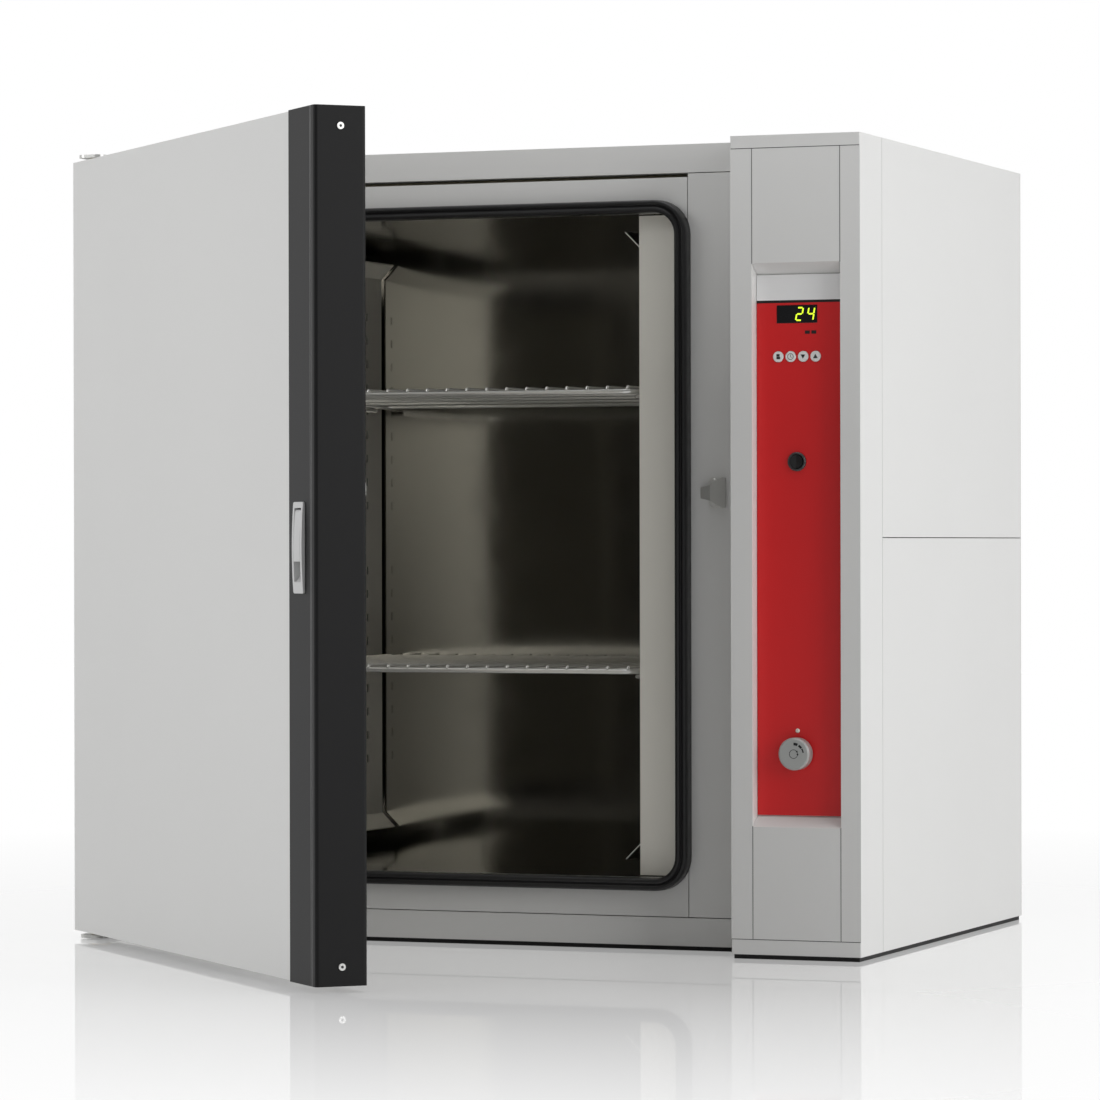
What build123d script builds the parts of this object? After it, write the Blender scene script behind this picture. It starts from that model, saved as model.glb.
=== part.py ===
"""A bench-top convection laboratory oven with a side-hung door and a control column.

X runs to the right, Y to the back and Z up. The origin is on the bench, under the
middle of the cabinet. Every length is in millimetres. The door stands part open.
"""

import os
from math import cos, radians, sin

from build123d import *

os.makedirs("parts", exist_ok=True)

# Cabinet
cabinet_width = 770.0
cabinet_depth = 458.0
cabinet_height = 731.0
strip_height = 4.0
strip_width = 12.0
strip_inset = 2.0
sheet = 1.5
seam = 0.8
fold = 25.0
upstand = 15.0
top_rail_height = 26.0
bottom_rail_height = 25.7
shadow_gap = 4.0
side_seam_height = 376.0
pan_slot_length = 80.0
pan_slot_width = 6.0
back_slot_length = 40.0
back_slot_width = 5.0
back_slot_bar = 12.0
back_slot_pitch = 24.0

# Control column, standing proud of the front at the right
column_width = 121.3
column_depth = 65.0
left_strip = 20.1
right_strip = 18.4
top_cap_height = 11.5
base_cap_height = 13.5
recess_depth = 13.0
recess_bottom = 118.0
recess_top = 621.0
recess_slope = 9.8
fascia_thickness = 2.0

# Chamber
chamber_height = 606.5
chamber_depth = 422.0
chamber_floor = 66.0
hinge_margin = 70.0
striker_margin = 76.7
chamber_corner = 12.0
surround_margin = 12.7
wool_clearance = 0.5
bay_width = 148.0

# Door seal, on the front of the surround
gasket_width = 12.0
gasket_height = 14.0
gasket_gap = 4.0
gasket_inner_radius = 20.0

# Air guides, the sheets that make a duct along each side wall
guide_setback = 15.0
right_duct = 39.4
left_duct = 33.0
guide_end_gap = 8.0
lip_run = 14.0
lip_start = 29.5
hook_slot_width = 5.0
hook_slot_height = 8.0
hook_slot_pitch = 24.0
hook_slot_rows = 9
hook_slot_inset = 18.0
intake_radius = 58.0
intake_bar = 6.0
intake_pitch = 17.0

# Wire shelves and the rods that carry them
upper_shelf_height = 511.4
lower_shelf_height = 253.1
shelf_side_gap = 6.2
shelf_rod_radius = 2.5
shelf_wire_radius = 1.5
shelf_cross_radius = 2.0
shelf_wire_pitch = 20.0
shelf_corner = 12.0
shelf_front_gap = 9.0
shelf_back_gap = 20.0
runner_radius = 2.0
runner_offset = 11.0
runner_bend = 6.0
slide_gap = 0.3
weld_gap = 0.02
rod_sides = 8

# Door
door_open_angle = 45.3
door_thickness = 46.0
door_side_gap = 3.2
door_bottom_gap = 2.8
trim_width = 61.0
trim_overhang = 1.1
trim_wall = 3.0
trim_groove = 9.5
liner_step = 4.5
liner_margin = 34.0

# Hinge, a pin at the top and one at the bottom of the door
pivot_inset = 10.0
pivot_depth = 23.0
pin_radius = 4.0
pin_length = 19.0
pin_clearance = 0.1
bush_radius = 7.0
bush_length = 22.0
bush_flange = 2.0
bracket_thickness = 3.0
bracket_width = 27.0
bracket_reach = 6.0

# Latch in the door's trim and its striker on the cabinet
latch_inset = 35.5
latch_bottom = 330.0
latch_height = 76.0
latch_width = 23.0
latch_rise = 1.5
latch_bow = 1.4
lever_width = 14.6
lever_bottom = 356.5
lever_top = 399.5
lever_thickness = 4.0
lever_gap = 0.5
trunnion_radius = 1.5
case_wall = 1.2
case_depth = 15.0
striker_inset = 43.2
striker_width = 15.5
striker_bottom = 402.7
striker_height = 28.4
striker_rise = 16.0
striker_screw_pitch = 20.0
bolt_thickness = 3.5
bolt_height = 11.0
bolt_reach = 15.0
bolt_nib = 5.0

# Controls on the fascia
control_inset = 63.0
display_width = 38.0
display_height = 16.0
display_middle = 575.5
key_pitch = 11.7
key_middle = 537.6
key_radius = 4.8
key_proud = 1.0
key_clearance = 0.3
unit_side = 14.5
unit_end = 21.0
unit_lip = 4.0
unit_depth = 70.0
switch_middle = 443.8
switch_radius = 8.5
rocker_radius = 6.3
rocker_tilt = 8.0
rocker_pin_radius = 0.9
knob_middle = 183.4
knob_radius = 14.5
knob_height = 11.0
spindle_radius = 3.0
lamp_middle = 203.8
lamp_radius = 2.0

# Fan, heater and sensors at the right duct
fan_height = 370.0
fan_back = -10.0
fan_radius = 70.0
fan_depth = 20.0
fan_blades = 12
shaft_radius = 4.0
heater_radius = 4.0
heater_half_span = 84.0
motor_radius = 42.0
motor_length = 60.0
vent_radius = 15.0
vent_wall = 1.5
vent_height = 630.0

# Places that follow from the sizes
right = cabinet_width / 2
left = -right
back = cabinet_depth / 2
front = -back
bottom = strip_height
top = bottom + cabinet_height
column_left = right - column_width
column_front = front - column_depth
fold_back = front + fold
rail_bottom = top - top_rail_height
rail_top = bottom + bottom_rail_height
chamber_left = left + hinge_margin
chamber_right = column_left - striker_margin
chamber_width = chamber_right - chamber_left
chamber_offset = (chamber_left + chamber_right) / 2
chamber_back = front + sheet + chamber_depth
chamber_top = chamber_floor + chamber_height
surround_left = chamber_left - surround_margin
surround_right = chamber_right + surround_margin
surround_top = rail_bottom - shadow_gap
bay_left = right - bay_width
recess_left = column_left + left_strip
recess_right = right - right_strip
recess_floor = column_front + recess_depth
control_centre = right - control_inset
insert_face = recess_floor + fascia_thickness
right_guide = chamber_right - right_duct
left_guide = chamber_left + left_duct
guide_front = front + guide_setback
guide_back = chamber_back - guide_end_gap
shelf_left = left_guide + shelf_side_gap + shelf_rod_radius
shelf_right = right_guide - shelf_side_gap - shelf_rod_radius
shelf_front = guide_front + shelf_front_gap
shelf_back = chamber_back - shelf_back_gap
shelf_middle = (shelf_left + shelf_right) / 2
shelf_wire_count = int((shelf_right - shelf_left) / shelf_wire_pitch) + 1
pivot_x = left + pivot_inset
pivot_y = column_front + pivot_depth
door_edge = column_left - door_side_gap - pivot_x
door_inner = pivot_depth - door_thickness
door_bottom = bottom + door_bottom_gap
door_top = top - door_bottom_gap
trim_start = door_edge - trim_width
latch_centre = door_edge - latch_inset
striker_left = column_left - striker_inset
striker_middle = striker_bottom + striker_height / 2

low_corner = (Align.MIN, Align.MIN, Align.MIN)
on_face = (Align.CENTER, Align.CENTER, Align.MIN)


def span(low, high, mode=Mode.ADD):
    """A block between two opposite corners, in the piece being built."""
    with Locations(low):
        Box(high[0] - low[0], high[1] - low[1], high[2] - low[2], align=low_corner, mode=mode)


def folded(points, side, thickness=sheet):
    """The section of a folded sheet, which lies on one side of the points."""
    with BuildLine() as run:
        Polyline(*points)
        offset(amount=thickness, kind=Kind.INTERSECTION, side=side)
    make_face(run.line)


def facing_front(y):
    """A sketch plane that looks at the viewer: its X to the right and its Y up."""
    return Plane(origin=(0, y, 0), x_dir=(1, 0, 0), z_dir=(0, -1, 0))


def facing_right(x):
    """A sketch plane that looks to the right: its X runs back and its Y up."""
    return Plane(origin=(x, 0, 0), x_dir=(0, 1, 0), z_dir=(1, 0, 0))


def leaf(out):
    """A plane on the door: its X runs from the hinge pin to the free edge and its Y up."""
    turn = radians(door_open_angle)
    pin = Plane(origin=(pivot_x, pivot_y, 0), x_dir=(cos(turn), -sin(turn), 0), z_dir=(-sin(turn), -cos(turn), 0))
    return pin.offset(out)


def section(height):
    """A plane across the door: its X runs to the free edge and its Y out of the door."""
    turn = radians(door_open_angle)
    along = (cos(turn), -sin(turn), 0)
    return Plane(origin=(pivot_x, pivot_y, height), x_dir=along, z_dir=(0, 0, -1))


def across(along):
    """A plane square to the door's width: its X runs out of the door and its Y up."""
    turn = radians(door_open_angle)
    origin = (pivot_x + along * cos(turn), pivot_y - along * sin(turn), 0)
    return Plane(origin=origin, x_dir=(-sin(turn), -cos(turn), 0), z_dir=(-cos(turn), sin(turn), 0))


def patch(low, high, mode=Mode.ADD):
    """A rectangle between two opposite corners, in the sketch being drawn."""
    with Locations(((low[0] + high[0]) / 2, (low[1] + high[1]) / 2)):
        Rectangle(high[0] - low[0], high[1] - low[1], mode=mode)


# Base pan, with upstands that the side panels fit over
with BuildPart() as base_pan:
    span((left + sheet, fold_back, bottom), (right - sheet, back - sheet, bottom + sheet))
    span((column_left, front, bottom), (right - sheet, fold_back, bottom + sheet))
    span((left + sheet, fold_back, bottom), (left + 2 * sheet, back - sheet, bottom + upstand))
    span((right - 2 * sheet, fold_back, bottom), (right - sheet, back - sheet, bottom + upstand))
    with Locations(((bay_left + right) / 2, 0, bottom)):
        with GridLocations(0, 2 * upstand, 1, 7):
            Box(pan_slot_length, pan_slot_width, 4 * sheet, mode=Mode.SUBTRACT)
base_pan.part.label = "base_pan"
export_step(base_pan.part, "parts/base_pan.step")

# Base strip, a rubber frame under the cabinet's edges with room for the bottom hinge
with BuildPart() as base_strip:
    hinge_room = left + bracket_width + strip_inset
    with BuildSketch():
        with BuildLine():
            Polyline(
                (left + strip_inset, back - strip_inset),
                (right - strip_inset, back - strip_inset),
                (right - strip_inset, column_front + strip_inset),
                (column_left + strip_inset, column_front + strip_inset),
                (column_left + strip_inset, front + strip_inset),
                (hinge_room, front + strip_inset),
                (hinge_room, fold_back),
                (left + strip_inset, fold_back),
                close=True,
            )
        make_face()
        offset(amount=-strip_width, kind=Kind.INTERSECTION, mode=Mode.SUBTRACT)
    extrude(amount=strip_height)
base_strip.part.label = "base_strip"
export_step(base_strip.part, "parts/base_strip.step")

# Left side panel, a flat sheet behind the hinge post
with BuildPart() as left_side_panel:
    span((left, fold_back + seam, bottom), (left + sheet, back - sheet, top))
    span((left + sheet, back - sheet - fold, bottom + 2 * upstand), (left + 2 * sheet, back - sheet, top - sheet))
left_side_panel.part.label = "left_side_panel"
export_step(left_side_panel.part, "parts/left_side_panel.step")

# Right side panel, in two halves that meet at a level seam
with BuildPart() as right_side_lower:
    span((right - sheet, front + seam, bottom), (right, back - sheet, side_seam_height - seam / 2))
right_side_lower.part.label = "right_side_lower"
export_step(right_side_lower.part, "parts/right_side_lower.step")

with BuildPart() as right_side_upper:
    span((right - sheet, front + seam, side_seam_height + seam / 2), (right, back - sheet, top))
right_side_upper.part.label = "right_side_upper"
export_step(right_side_upper.part, "parts/right_side_upper.step")

# Top panel, notched round the front rail
with BuildPart() as top_panel:
    span((left + sheet, fold_back, top - sheet), (right - sheet, back - sheet, top))
    span((column_left, front, top - sheet), (right - sheet, fold_back, top))
top_panel.part.label = "top_panel"
export_step(top_panel.part, "parts/top_panel.step")

# Back panel, with cooling slots over the control bay, the vent hole and the inlet hole
inlet_x = (bay_left + right) / 2
inlet_z = bottom + 56
vent_x = chamber_right - right_duct / 2
with BuildPart() as back_panel:
    span((left, back - sheet, bottom), (right, back, top))
    with BuildSketch(facing_front(back)):
        with Locations((inlet_x, (bottom + top) / 2)):
            with GridLocations(back_slot_length + back_slot_bar, back_slot_pitch, 2, 14):
                Rectangle(back_slot_length, back_slot_width)
        with Locations((vent_x, vent_height)):
            Circle(vent_radius + vent_wall + 0.5)
        with Locations((inlet_x, inlet_z)):
            Rectangle(30, 22)
    extrude(amount=2 * sheet, mode=Mode.SUBTRACT)
back_panel.part.label = "back_panel"
export_step(back_panel.part, "parts/back_panel.step")

# Front rails, folded channels across the cabinet
with BuildPart() as top_rail:
    with BuildSketch(facing_right(left)):
        folded([(fold_back, top), (front, top), (front, rail_bottom), (fold_back, rail_bottom)], Side.LEFT)
    extrude(amount=cabinet_width - column_width - seam)
top_rail.part.label = "top_rail"
export_step(top_rail.part, "parts/top_rail.step")

with BuildPart() as bottom_rail:
    with BuildSketch(facing_right(left)):
        folded([(fold_back, rail_top), (front, rail_top), (front, bottom), (fold_back, bottom)], Side.LEFT)
    extrude(amount=cabinet_width - column_width - seam)
bottom_rail.part.label = "bottom_rail"
export_step(bottom_rail.part, "parts/bottom_rail.step")

# Front posts, folded channels between the rails
with BuildPart() as hinge_post:
    with BuildSketch(Plane.XY.offset(rail_top + seam)):
        post_inner = surround_left - seam
        folded([(left, fold_back), (left, front), (post_inner, front), (post_inner, fold_back)], Side.LEFT)
    extrude(amount=rail_bottom - rail_top - 2 * seam)
hinge_post.part.label = "hinge_post"
export_step(hinge_post.part, "parts/hinge_post.step")

with BuildPart() as striker_post:
    with BuildSketch(Plane.XY.offset(rail_top + seam)):
        post_left = surround_right + seam
        post_right = column_left - seam
        folded([(post_left, fold_back), (post_left, front), (post_right, front), (post_right, fold_back)], Side.LEFT)
    extrude(amount=rail_bottom - rail_top - 2 * seam)
striker_post.part.label = "striker_post"
export_step(striker_post.part, "parts/striker_post.step")

# Surround, the face that frames the chamber's mouth, turned back at its rim
with BuildPart() as chamber_surround:
    middle = ((surround_left + surround_right) / 2, (rail_top + seam + surround_top) / 2)
    with BuildSketch(facing_front(front + sheet)):
        with Locations(middle):
            Rectangle(surround_right - surround_left, surround_top - rail_top - seam)
        with Locations((chamber_offset, chamber_floor + chamber_height / 2)):
            RectangleRounded(chamber_width, chamber_height, chamber_corner, mode=Mode.SUBTRACT)
    extrude(amount=sheet)
    with BuildSketch(facing_front(front + fold / 2)):
        with Locations(middle):
            Rectangle(surround_right - surround_left, surround_top - rail_top - seam)
            Rectangle(
                surround_right - surround_left - 2 * sheet,
                surround_top - rail_top - seam - 2 * sheet,
                mode=Mode.SUBTRACT,
            )
    extrude(amount=fold / 2 - sheet)
chamber_surround.part.label = "chamber_surround"
export_step(chamber_surround.part, "parts/chamber_surround.step")

# Chamber wall, one polished sheet wrapped round the four sides
sensor_back = 120.0
probe_height = 560.0
bulb_height = 530.0
sensor_radius = 2.5
heater_low = fan_height - heater_half_span
heater_near = fan_back - heater_half_span
heater_far = fan_back + heater_half_span


def wall_holes(clearance):
    """The holes for the fan shaft, the heater's legs and the two sensors."""
    with Locations((fan_back, fan_height)):
        Circle(shaft_radius + 2 * clearance + 1)
    with Locations((heater_near, heater_low), (heater_far, heater_low)):
        Circle(heater_radius + clearance)
    with Locations((sensor_back, probe_height), (sensor_back, bulb_height)):
        Circle(sensor_radius + clearance)


with BuildPart() as chamber_shell:
    with BuildSketch(facing_front(chamber_back)):
        with Locations((chamber_offset, chamber_floor + chamber_height / 2)):
            RectangleRounded(chamber_width + 2 * sheet, chamber_height + 2 * sheet, chamber_corner + sheet)
            RectangleRounded(chamber_width, chamber_height, chamber_corner, mode=Mode.SUBTRACT)
    extrude(amount=chamber_depth)
    with BuildSketch(facing_right(chamber_right - 1)):
        wall_holes(0.5)
    extrude(amount=sheet + 2, mode=Mode.SUBTRACT)
chamber_shell.part.label = "chamber_shell"
export_step(chamber_shell.part, "parts/chamber_shell.step")

# Chamber back, a polished sheet with the vent hole behind the right duct
with BuildPart() as chamber_back_sheet:
    with BuildSketch(facing_front(chamber_back + sheet)):
        with Locations((chamber_offset, chamber_floor + chamber_height / 2)):
            RectangleRounded(chamber_width + 2 * sheet, chamber_height + 2 * sheet, chamber_corner + sheet)
        with Locations((vent_x, vent_height)):
            Circle(vent_radius, mode=Mode.SUBTRACT)
    extrude(amount=sheet)
chamber_back_sheet.part.label = "chamber_back_sheet"
export_step(chamber_back_sheet.part, "parts/chamber_back_sheet.step")

# Mineral wool between the chamber and the casing
with BuildPart() as insulation_jacket:
    wool_left = left + 2 * sheet + wool_clearance
    wool_right = bay_left - wool_clearance
    wool_front = fold_back + 1
    span((wool_left, wool_front, bottom + sheet + 1), (wool_right, back - sheet - 1, top - sheet - 1))
    with BuildSketch(facing_front(chamber_back + sheet + wool_clearance)):
        with Locations((chamber_offset, chamber_floor + chamber_height / 2)):
            RectangleRounded(chamber_width + 2 * sheet + 1, chamber_height + 2 * sheet + 1, chamber_corner + 2)
    extrude(amount=chamber_depth, mode=Mode.SUBTRACT)
    with BuildSketch(facing_right(chamber_right)):
        wall_holes(1)
    extrude(amount=bay_left - chamber_right, mode=Mode.SUBTRACT)
    with BuildSketch(facing_front(back)):
        with Locations((vent_x, vent_height)):
            Circle(vent_radius + vent_wall + 0.5)
    extrude(amount=back - chamber_back, mode=Mode.SUBTRACT)
    span((left, wool_front - 1, bottom), (left + 3 * sheet + 1, back, bottom + upstand + 1), mode=Mode.SUBTRACT)
insulation_jacket.part.label = "insulation_jacket"
export_step(insulation_jacket.part, "parts/insulation_jacket.step")

# Wall between the mineral wool and the control bay
with BuildPart() as bay_partition:
    span((bay_left, fold_back + 1, bottom + sheet), (bay_left + sheet, back - sheet, top - sheet))
    with BuildSketch(facing_right(bay_left - 1)):
        wall_holes(0.5)
    extrude(amount=sheet + 2, mode=Mode.SUBTRACT)
bay_partition.part.label = "bay_partition"
export_step(bay_partition.part, "parts/bay_partition.step")

# Door seal, a soft band with a furrow along its crest
seal_width = chamber_width + 2 * (gasket_gap + gasket_width)
seal_height = chamber_height + 2 * gasket_width
with BuildPart() as door_gasket:
    with BuildSketch(facing_front(front)):
        with Locations((chamber_offset, chamber_floor + chamber_height / 2)):
            RectangleRounded(seal_width, seal_height, gasket_inner_radius + gasket_width)
            RectangleRounded(
                seal_width - 2 * gasket_width,
                seal_height - 2 * gasket_width,
                gasket_inner_radius,
                mode=Mode.SUBTRACT,
            )
    extrude(amount=gasket_height)
    chamfer(door_gasket.faces().sort_by(Axis.Y)[0].edges(), 2.5)
    with BuildSketch(facing_front(front - gasket_height)):
        with Locations((chamber_offset, chamber_floor + chamber_height / 2)):
            RectangleRounded(seal_width - gasket_width + 2, seal_height - gasket_width + 2, gasket_inner_radius + 7)
            RectangleRounded(
                seal_width - gasket_width - 2,
                seal_height - gasket_width - 2,
                gasket_inner_radius + 5,
                mode=Mode.SUBTRACT,
            )
    extrude(amount=-2.5, mode=Mode.SUBTRACT)
door_gasket.part.label = "door_gasket"
export_step(door_gasket.part, "parts/door_gasket.step")

# Air guides, each with a front flange, a lip at both ends and slots for the runners
guide_bottom = chamber_floor + lip_start
guide_top = chamber_top - lip_start
slot_front = guide_front + hook_slot_inset
slot_back = guide_back - 2 * hook_slot_inset
slot_middle = (slot_front + slot_back) / 2
hook_rise = runner_radius + slide_gap + shelf_rod_radius


def runner_height(shelf_height):
    """The height of the rods that carry a shelf."""
    return shelf_height - hook_rise


def air_guide(face, wall, inward):
    """A guide whose chamber face is at one X, reaching towards the chamber's side wall."""
    side = Side.RIGHT if inward < 0 else Side.LEFT
    lip = face + inward * lip_run
    with BuildSketch(facing_front(guide_back)) as profile:
        folded(
            [(lip, guide_bottom - lip_run), (face, guide_bottom), (face, guide_top), (lip, guide_top + lip_run)],
            side,
        )
    extrude(profile.sketch, amount=guide_back - guide_front)
    with BuildSketch(facing_front(guide_front + sheet)) as flange:
        with Locations((chamber_offset, chamber_floor + chamber_height / 2)):
            RectangleRounded(chamber_width - 2 * seam, chamber_height - 2 * seam, chamber_corner - seam)
        patch((min(face, wall), chamber_floor), (max(face, wall), chamber_top), mode=Mode.INTERSECT)
    extrude(flange.sketch, amount=sheet)
    with BuildSketch(facing_right(face - 3)) as slots:
        for height in (upper_shelf_height, lower_shelf_height):
            with Locations((slot_middle, runner_height(height))):
                with GridLocations(slot_back - slot_front, hook_slot_pitch, 2, hook_slot_rows):
                    Rectangle(hook_slot_width, hook_slot_height)
    extrude(slots.sketch, amount=6, mode=Mode.SUBTRACT)


with BuildPart() as right_air_guide:
    air_guide(right_guide, chamber_right, -1)
    with BuildSketch(facing_right(right_guide - 3)):
        with Locations((fan_back, fan_height)):
            Circle(intake_radius)
            with GridLocations(0, intake_pitch, 1, 6):
                Rectangle(2 * intake_radius, intake_bar, mode=Mode.SUBTRACT)
    extrude(amount=6, mode=Mode.SUBTRACT)
right_air_guide.part.label = "right_air_guide"
export_step(right_air_guide.part, "parts/right_air_guide.step")

with BuildPart() as left_air_guide:
    air_guide(left_guide, chamber_left, 1)
left_air_guide.part.label = "left_air_guide"
export_step(left_air_guide.part, "parts/left_air_guide.step")


# Runners, bent rods hooked into the guides
def runner(face, inward, shelf_height):
    """A rod along a guide, with both ends turned through its slots."""
    level = runner_height(shelf_height)
    hook = face - inward * 6
    rod = face + inward * runner_offset
    with BuildLine() as path:
        FilletPolyline(
            (hook, slot_front, level),
            (rod, slot_front, level),
            (rod, slot_back, level),
            (hook, slot_back, level),
            radius=runner_bend,
        )
    with BuildSketch(Plane(origin=path.line @ 0, z_dir=path.line % 0)) as rod_section:
        RegularPolygon(runner_radius, rod_sides)
    sweep(rod_section.sketch, path=path.line)


with BuildPart() as shelf_runners:
    for shelf_height in (upper_shelf_height, lower_shelf_height):
        runner(right_guide, -1, shelf_height)
        runner(left_guide, 1, shelf_height)
shelf_runners.part.label = "shelf_runners"
export_step(shelf_runners.part, "parts/shelf_runners.step")


# Wire shelves, each a bent frame rod with cross rods and a row of wires welded on
def wire_shelf(height):
    """One shelf, with the middle of its frame rod at a height."""
    with BuildLine(Plane.XY.offset(height)) as path:
        FilletPolyline(
            (shelf_left, shelf_front),
            (shelf_right, shelf_front),
            (shelf_right, shelf_back),
            (shelf_left, shelf_back),
            radius=shelf_corner,
            close=True,
        )
    with BuildSketch(Plane(origin=path.line @ 0, z_dir=path.line % 0)) as rod_section:
        RegularPolygon(shelf_rod_radius, rod_sides)
    sweep(rod_section.sketch, path=path.line)
    wire_level = height + shelf_rod_radius + shelf_wire_radius + weld_gap
    cross_level = height + shelf_rod_radius - shelf_cross_radius
    shelf_length = shelf_back - shelf_front
    with BuildSketch(facing_front(shelf_back)) as wire_ends:
        with Locations((shelf_middle, wire_level)):
            with GridLocations(shelf_wire_pitch, 0, shelf_wire_count, 1):
                RegularPolygon(shelf_wire_radius, rod_sides)
    extrude(wire_ends.sketch, amount=shelf_length)
    with BuildSketch(facing_right(shelf_left + shelf_rod_radius + weld_gap)) as cross_ends:
        with Locations(((shelf_front + shelf_back) / 2, cross_level)):
            with GridLocations(shelf_length / 4, 0, 3, 1):
                RegularPolygon(shelf_cross_radius, rod_sides)
    extrude(cross_ends.sketch, amount=shelf_right - shelf_left - 2 * shelf_rod_radius - 2 * weld_gap)


with BuildPart() as upper_shelf:
    wire_shelf(upper_shelf_height)
upper_shelf.part.label = "upper_shelf"
export_step(upper_shelf.part, "parts/upper_shelf.step")

with BuildPart() as lower_shelf:
    wire_shelf(lower_shelf_height)
lower_shelf.part.label = "lower_shelf"
export_step(lower_shelf.part, "parts/lower_shelf.step")

# Column casing, a folded sheet on either side of the control panel
column_floor = bottom + base_cap_height
column_ceiling = top - top_cap_height
cheek_end = insert_face + 2 * sheet
with BuildPart() as column_left_casing:
    with BuildSketch(Plane.XY.offset(column_floor)):
        near = [(column_left, front), (column_left, column_front)]
        folded([*near, (recess_left, column_front), (recess_left, cheek_end)], Side.LEFT)
    extrude(amount=column_ceiling - column_floor)
column_left_casing.part.label = "column_left_casing"
export_step(column_left_casing.part, "parts/column_left_casing.step")

with BuildPart() as column_right_casing:
    with BuildSketch(Plane.XY.offset(column_floor)):
        near = [(recess_right, cheek_end), (recess_right, column_front)]
        folded([*near, (right, column_front), (right, front)], Side.LEFT)
    extrude(amount=column_ceiling - column_floor)
column_right_casing.part.label = "column_right_casing"
export_step(column_right_casing.part, "parts/column_right_casing.step")

# Caps that close the column above and below
with BuildPart() as column_top_cap:
    span((column_left, column_front, column_ceiling), (right, front, top))
    fillet(column_top_cap.edges().filter_by(Axis.Z).group_by(Axis.Y)[0], 1)
    offset(amount=-sheet, openings=column_top_cap.faces().sort_by(Axis.Z)[0])
column_top_cap.part.label = "column_top_cap"
export_step(column_top_cap.part, "parts/column_top_cap.step")

with BuildPart() as column_base_cap:
    span((column_left, column_front, bottom), (right, front, column_floor))
    fillet(column_base_cap.edges().filter_by(Axis.Z).group_by(Axis.Y)[0], 1)
    offset(amount=-sheet, openings=column_base_cap.faces().sort_by(Axis.Z)[-1])
column_base_cap.part.label = "column_base_cap"
export_step(column_base_cap.part, "parts/column_base_cap.step")

# Places of the controls on the fascia
display_place = (control_centre, display_middle)
key_row = (control_centre, key_middle)
switch_place = (control_centre, switch_middle)
knob_place = (control_centre, knob_middle)
lamp_place = (control_centre, lamp_middle)
bush_hole = 1.7 * spindle_radius
lens_play = 0.1


def control_holes():
    """The holes shared by the fascia and the insert behind it."""
    with Locations(display_place):
        Rectangle(display_width + 2 * lens_play, display_height + 2 * lens_play)
    with Locations(switch_place):
        Circle(switch_radius - 0.6)
    with Locations(knob_place):
        Circle(bush_hole + 0.2)
    with Locations(lamp_place):
        Circle(lamp_radius + lens_play)


# Insert, a pressed sheet that steps back between the casing's two sides
with BuildPart() as control_insert:
    with BuildSketch(facing_right(recess_left + 0.2)):
        folded(
            [
                (column_front, column_floor),
                (column_front, recess_bottom),
                (insert_face, recess_bottom + recess_slope),
                (insert_face, recess_top - recess_slope),
                (column_front, recess_top),
                (column_front, column_ceiling),
            ],
            Side.RIGHT,
        )
    extrude(amount=recess_right - recess_left - 0.4)
    with BuildSketch(facing_front(insert_face + 2 * sheet)):
        control_holes()
        with Locations(key_row):
            SlotCenterToCenter(3 * key_pitch, 2 * key_radius + 4)
    extrude(amount=4 * sheet, mode=Mode.SUBTRACT)
control_insert.part.label = "control_insert"
export_step(control_insert.part, "parts/control_insert.step")

# Fascia, the coloured panel in the recess
edge_play = 0.4
with BuildPart() as control_fascia:
    with BuildSketch(facing_front(insert_face)):
        fascia_low = (recess_left + edge_play, recess_bottom + recess_slope + edge_play)
        patch(fascia_low, (recess_right - edge_play, recess_top - recess_slope - edge_play))
    extrude(amount=fascia_thickness)
    with BuildSketch(facing_front(insert_face)):
        control_holes()
        with Locations(key_row):
            with GridLocations(key_pitch, 0, 4, 1):
                Circle(key_radius + key_clearance)
    extrude(amount=fascia_thickness, mode=Mode.SUBTRACT)
control_fascia.part.label = "control_fascia"
export_step(control_fascia.part, "parts/control_fascia.step")

# Display window and the control unit behind it
with BuildPart() as display_lens:
    with BuildSketch(facing_front(insert_face + sheet)):
        with Locations(display_place):
            Rectangle(display_width, display_height)
    extrude(amount=fascia_thickness + sheet + 0.3)
    chamfer(display_lens.faces().sort_by(Axis.Y)[0].edges(), 0.4)
display_lens.part.label = "display_lens"
export_step(display_lens.part, "parts/display_lens.step")

with BuildPart() as control_unit:
    with BuildSketch(facing_front(insert_face + sheet + 3)):
        with Locations((control_centre, (display_middle + key_middle) / 2)):
            unit_width = 3 * key_pitch + 2 * unit_side
            unit_height = display_middle - key_middle + 2 * unit_end
            RectangleRounded(unit_width, unit_height, 3)
    extrude(amount=3)
    with BuildSketch(facing_front(insert_face + sheet)):
        with Locations(key_row):
            SlotCenterToCenter(3 * key_pitch, 2 * key_radius + 4)
    extrude(amount=-2.6, mode=Mode.SUBTRACT)
    with BuildSketch(facing_front(insert_face + sheet + 3)):
        with Locations((control_centre, (display_middle + key_middle) / 2)):
            Rectangle(unit_width - 2 * unit_lip, unit_height - 2 * unit_lip)
    extrude(amount=-unit_depth)
    chamfer(control_unit.faces().sort_by(Axis.Y)[-1].edges(), 2)
control_unit.part.label = "control_unit"
export_step(control_unit.part, "parts/control_unit.step")


# Keys, each a round cap with a stem towards its switch
def key(place):
    """One key, counted from the middle of the row."""
    middle = (control_centre + place * key_pitch, key_middle)
    with BuildSketch(facing_front(recess_floor + 3)) as cap:
        with Locations(middle):
            Circle(key_radius)
    extrude(cap.sketch, amount=3 + key_proud)
    with BuildSketch(facing_front(recess_floor + 3)) as stem:
        with Locations(middle):
            Circle(2)
    extrude(stem.sketch, amount=-2)


with BuildPart() as menu_key:
    key(-1.5)
    chamfer(menu_key.faces().sort_by(Axis.Y)[0].edges(), 0.4)
menu_key.part.label = "menu_key"
export_step(menu_key.part, "parts/menu_key.step")

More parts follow.
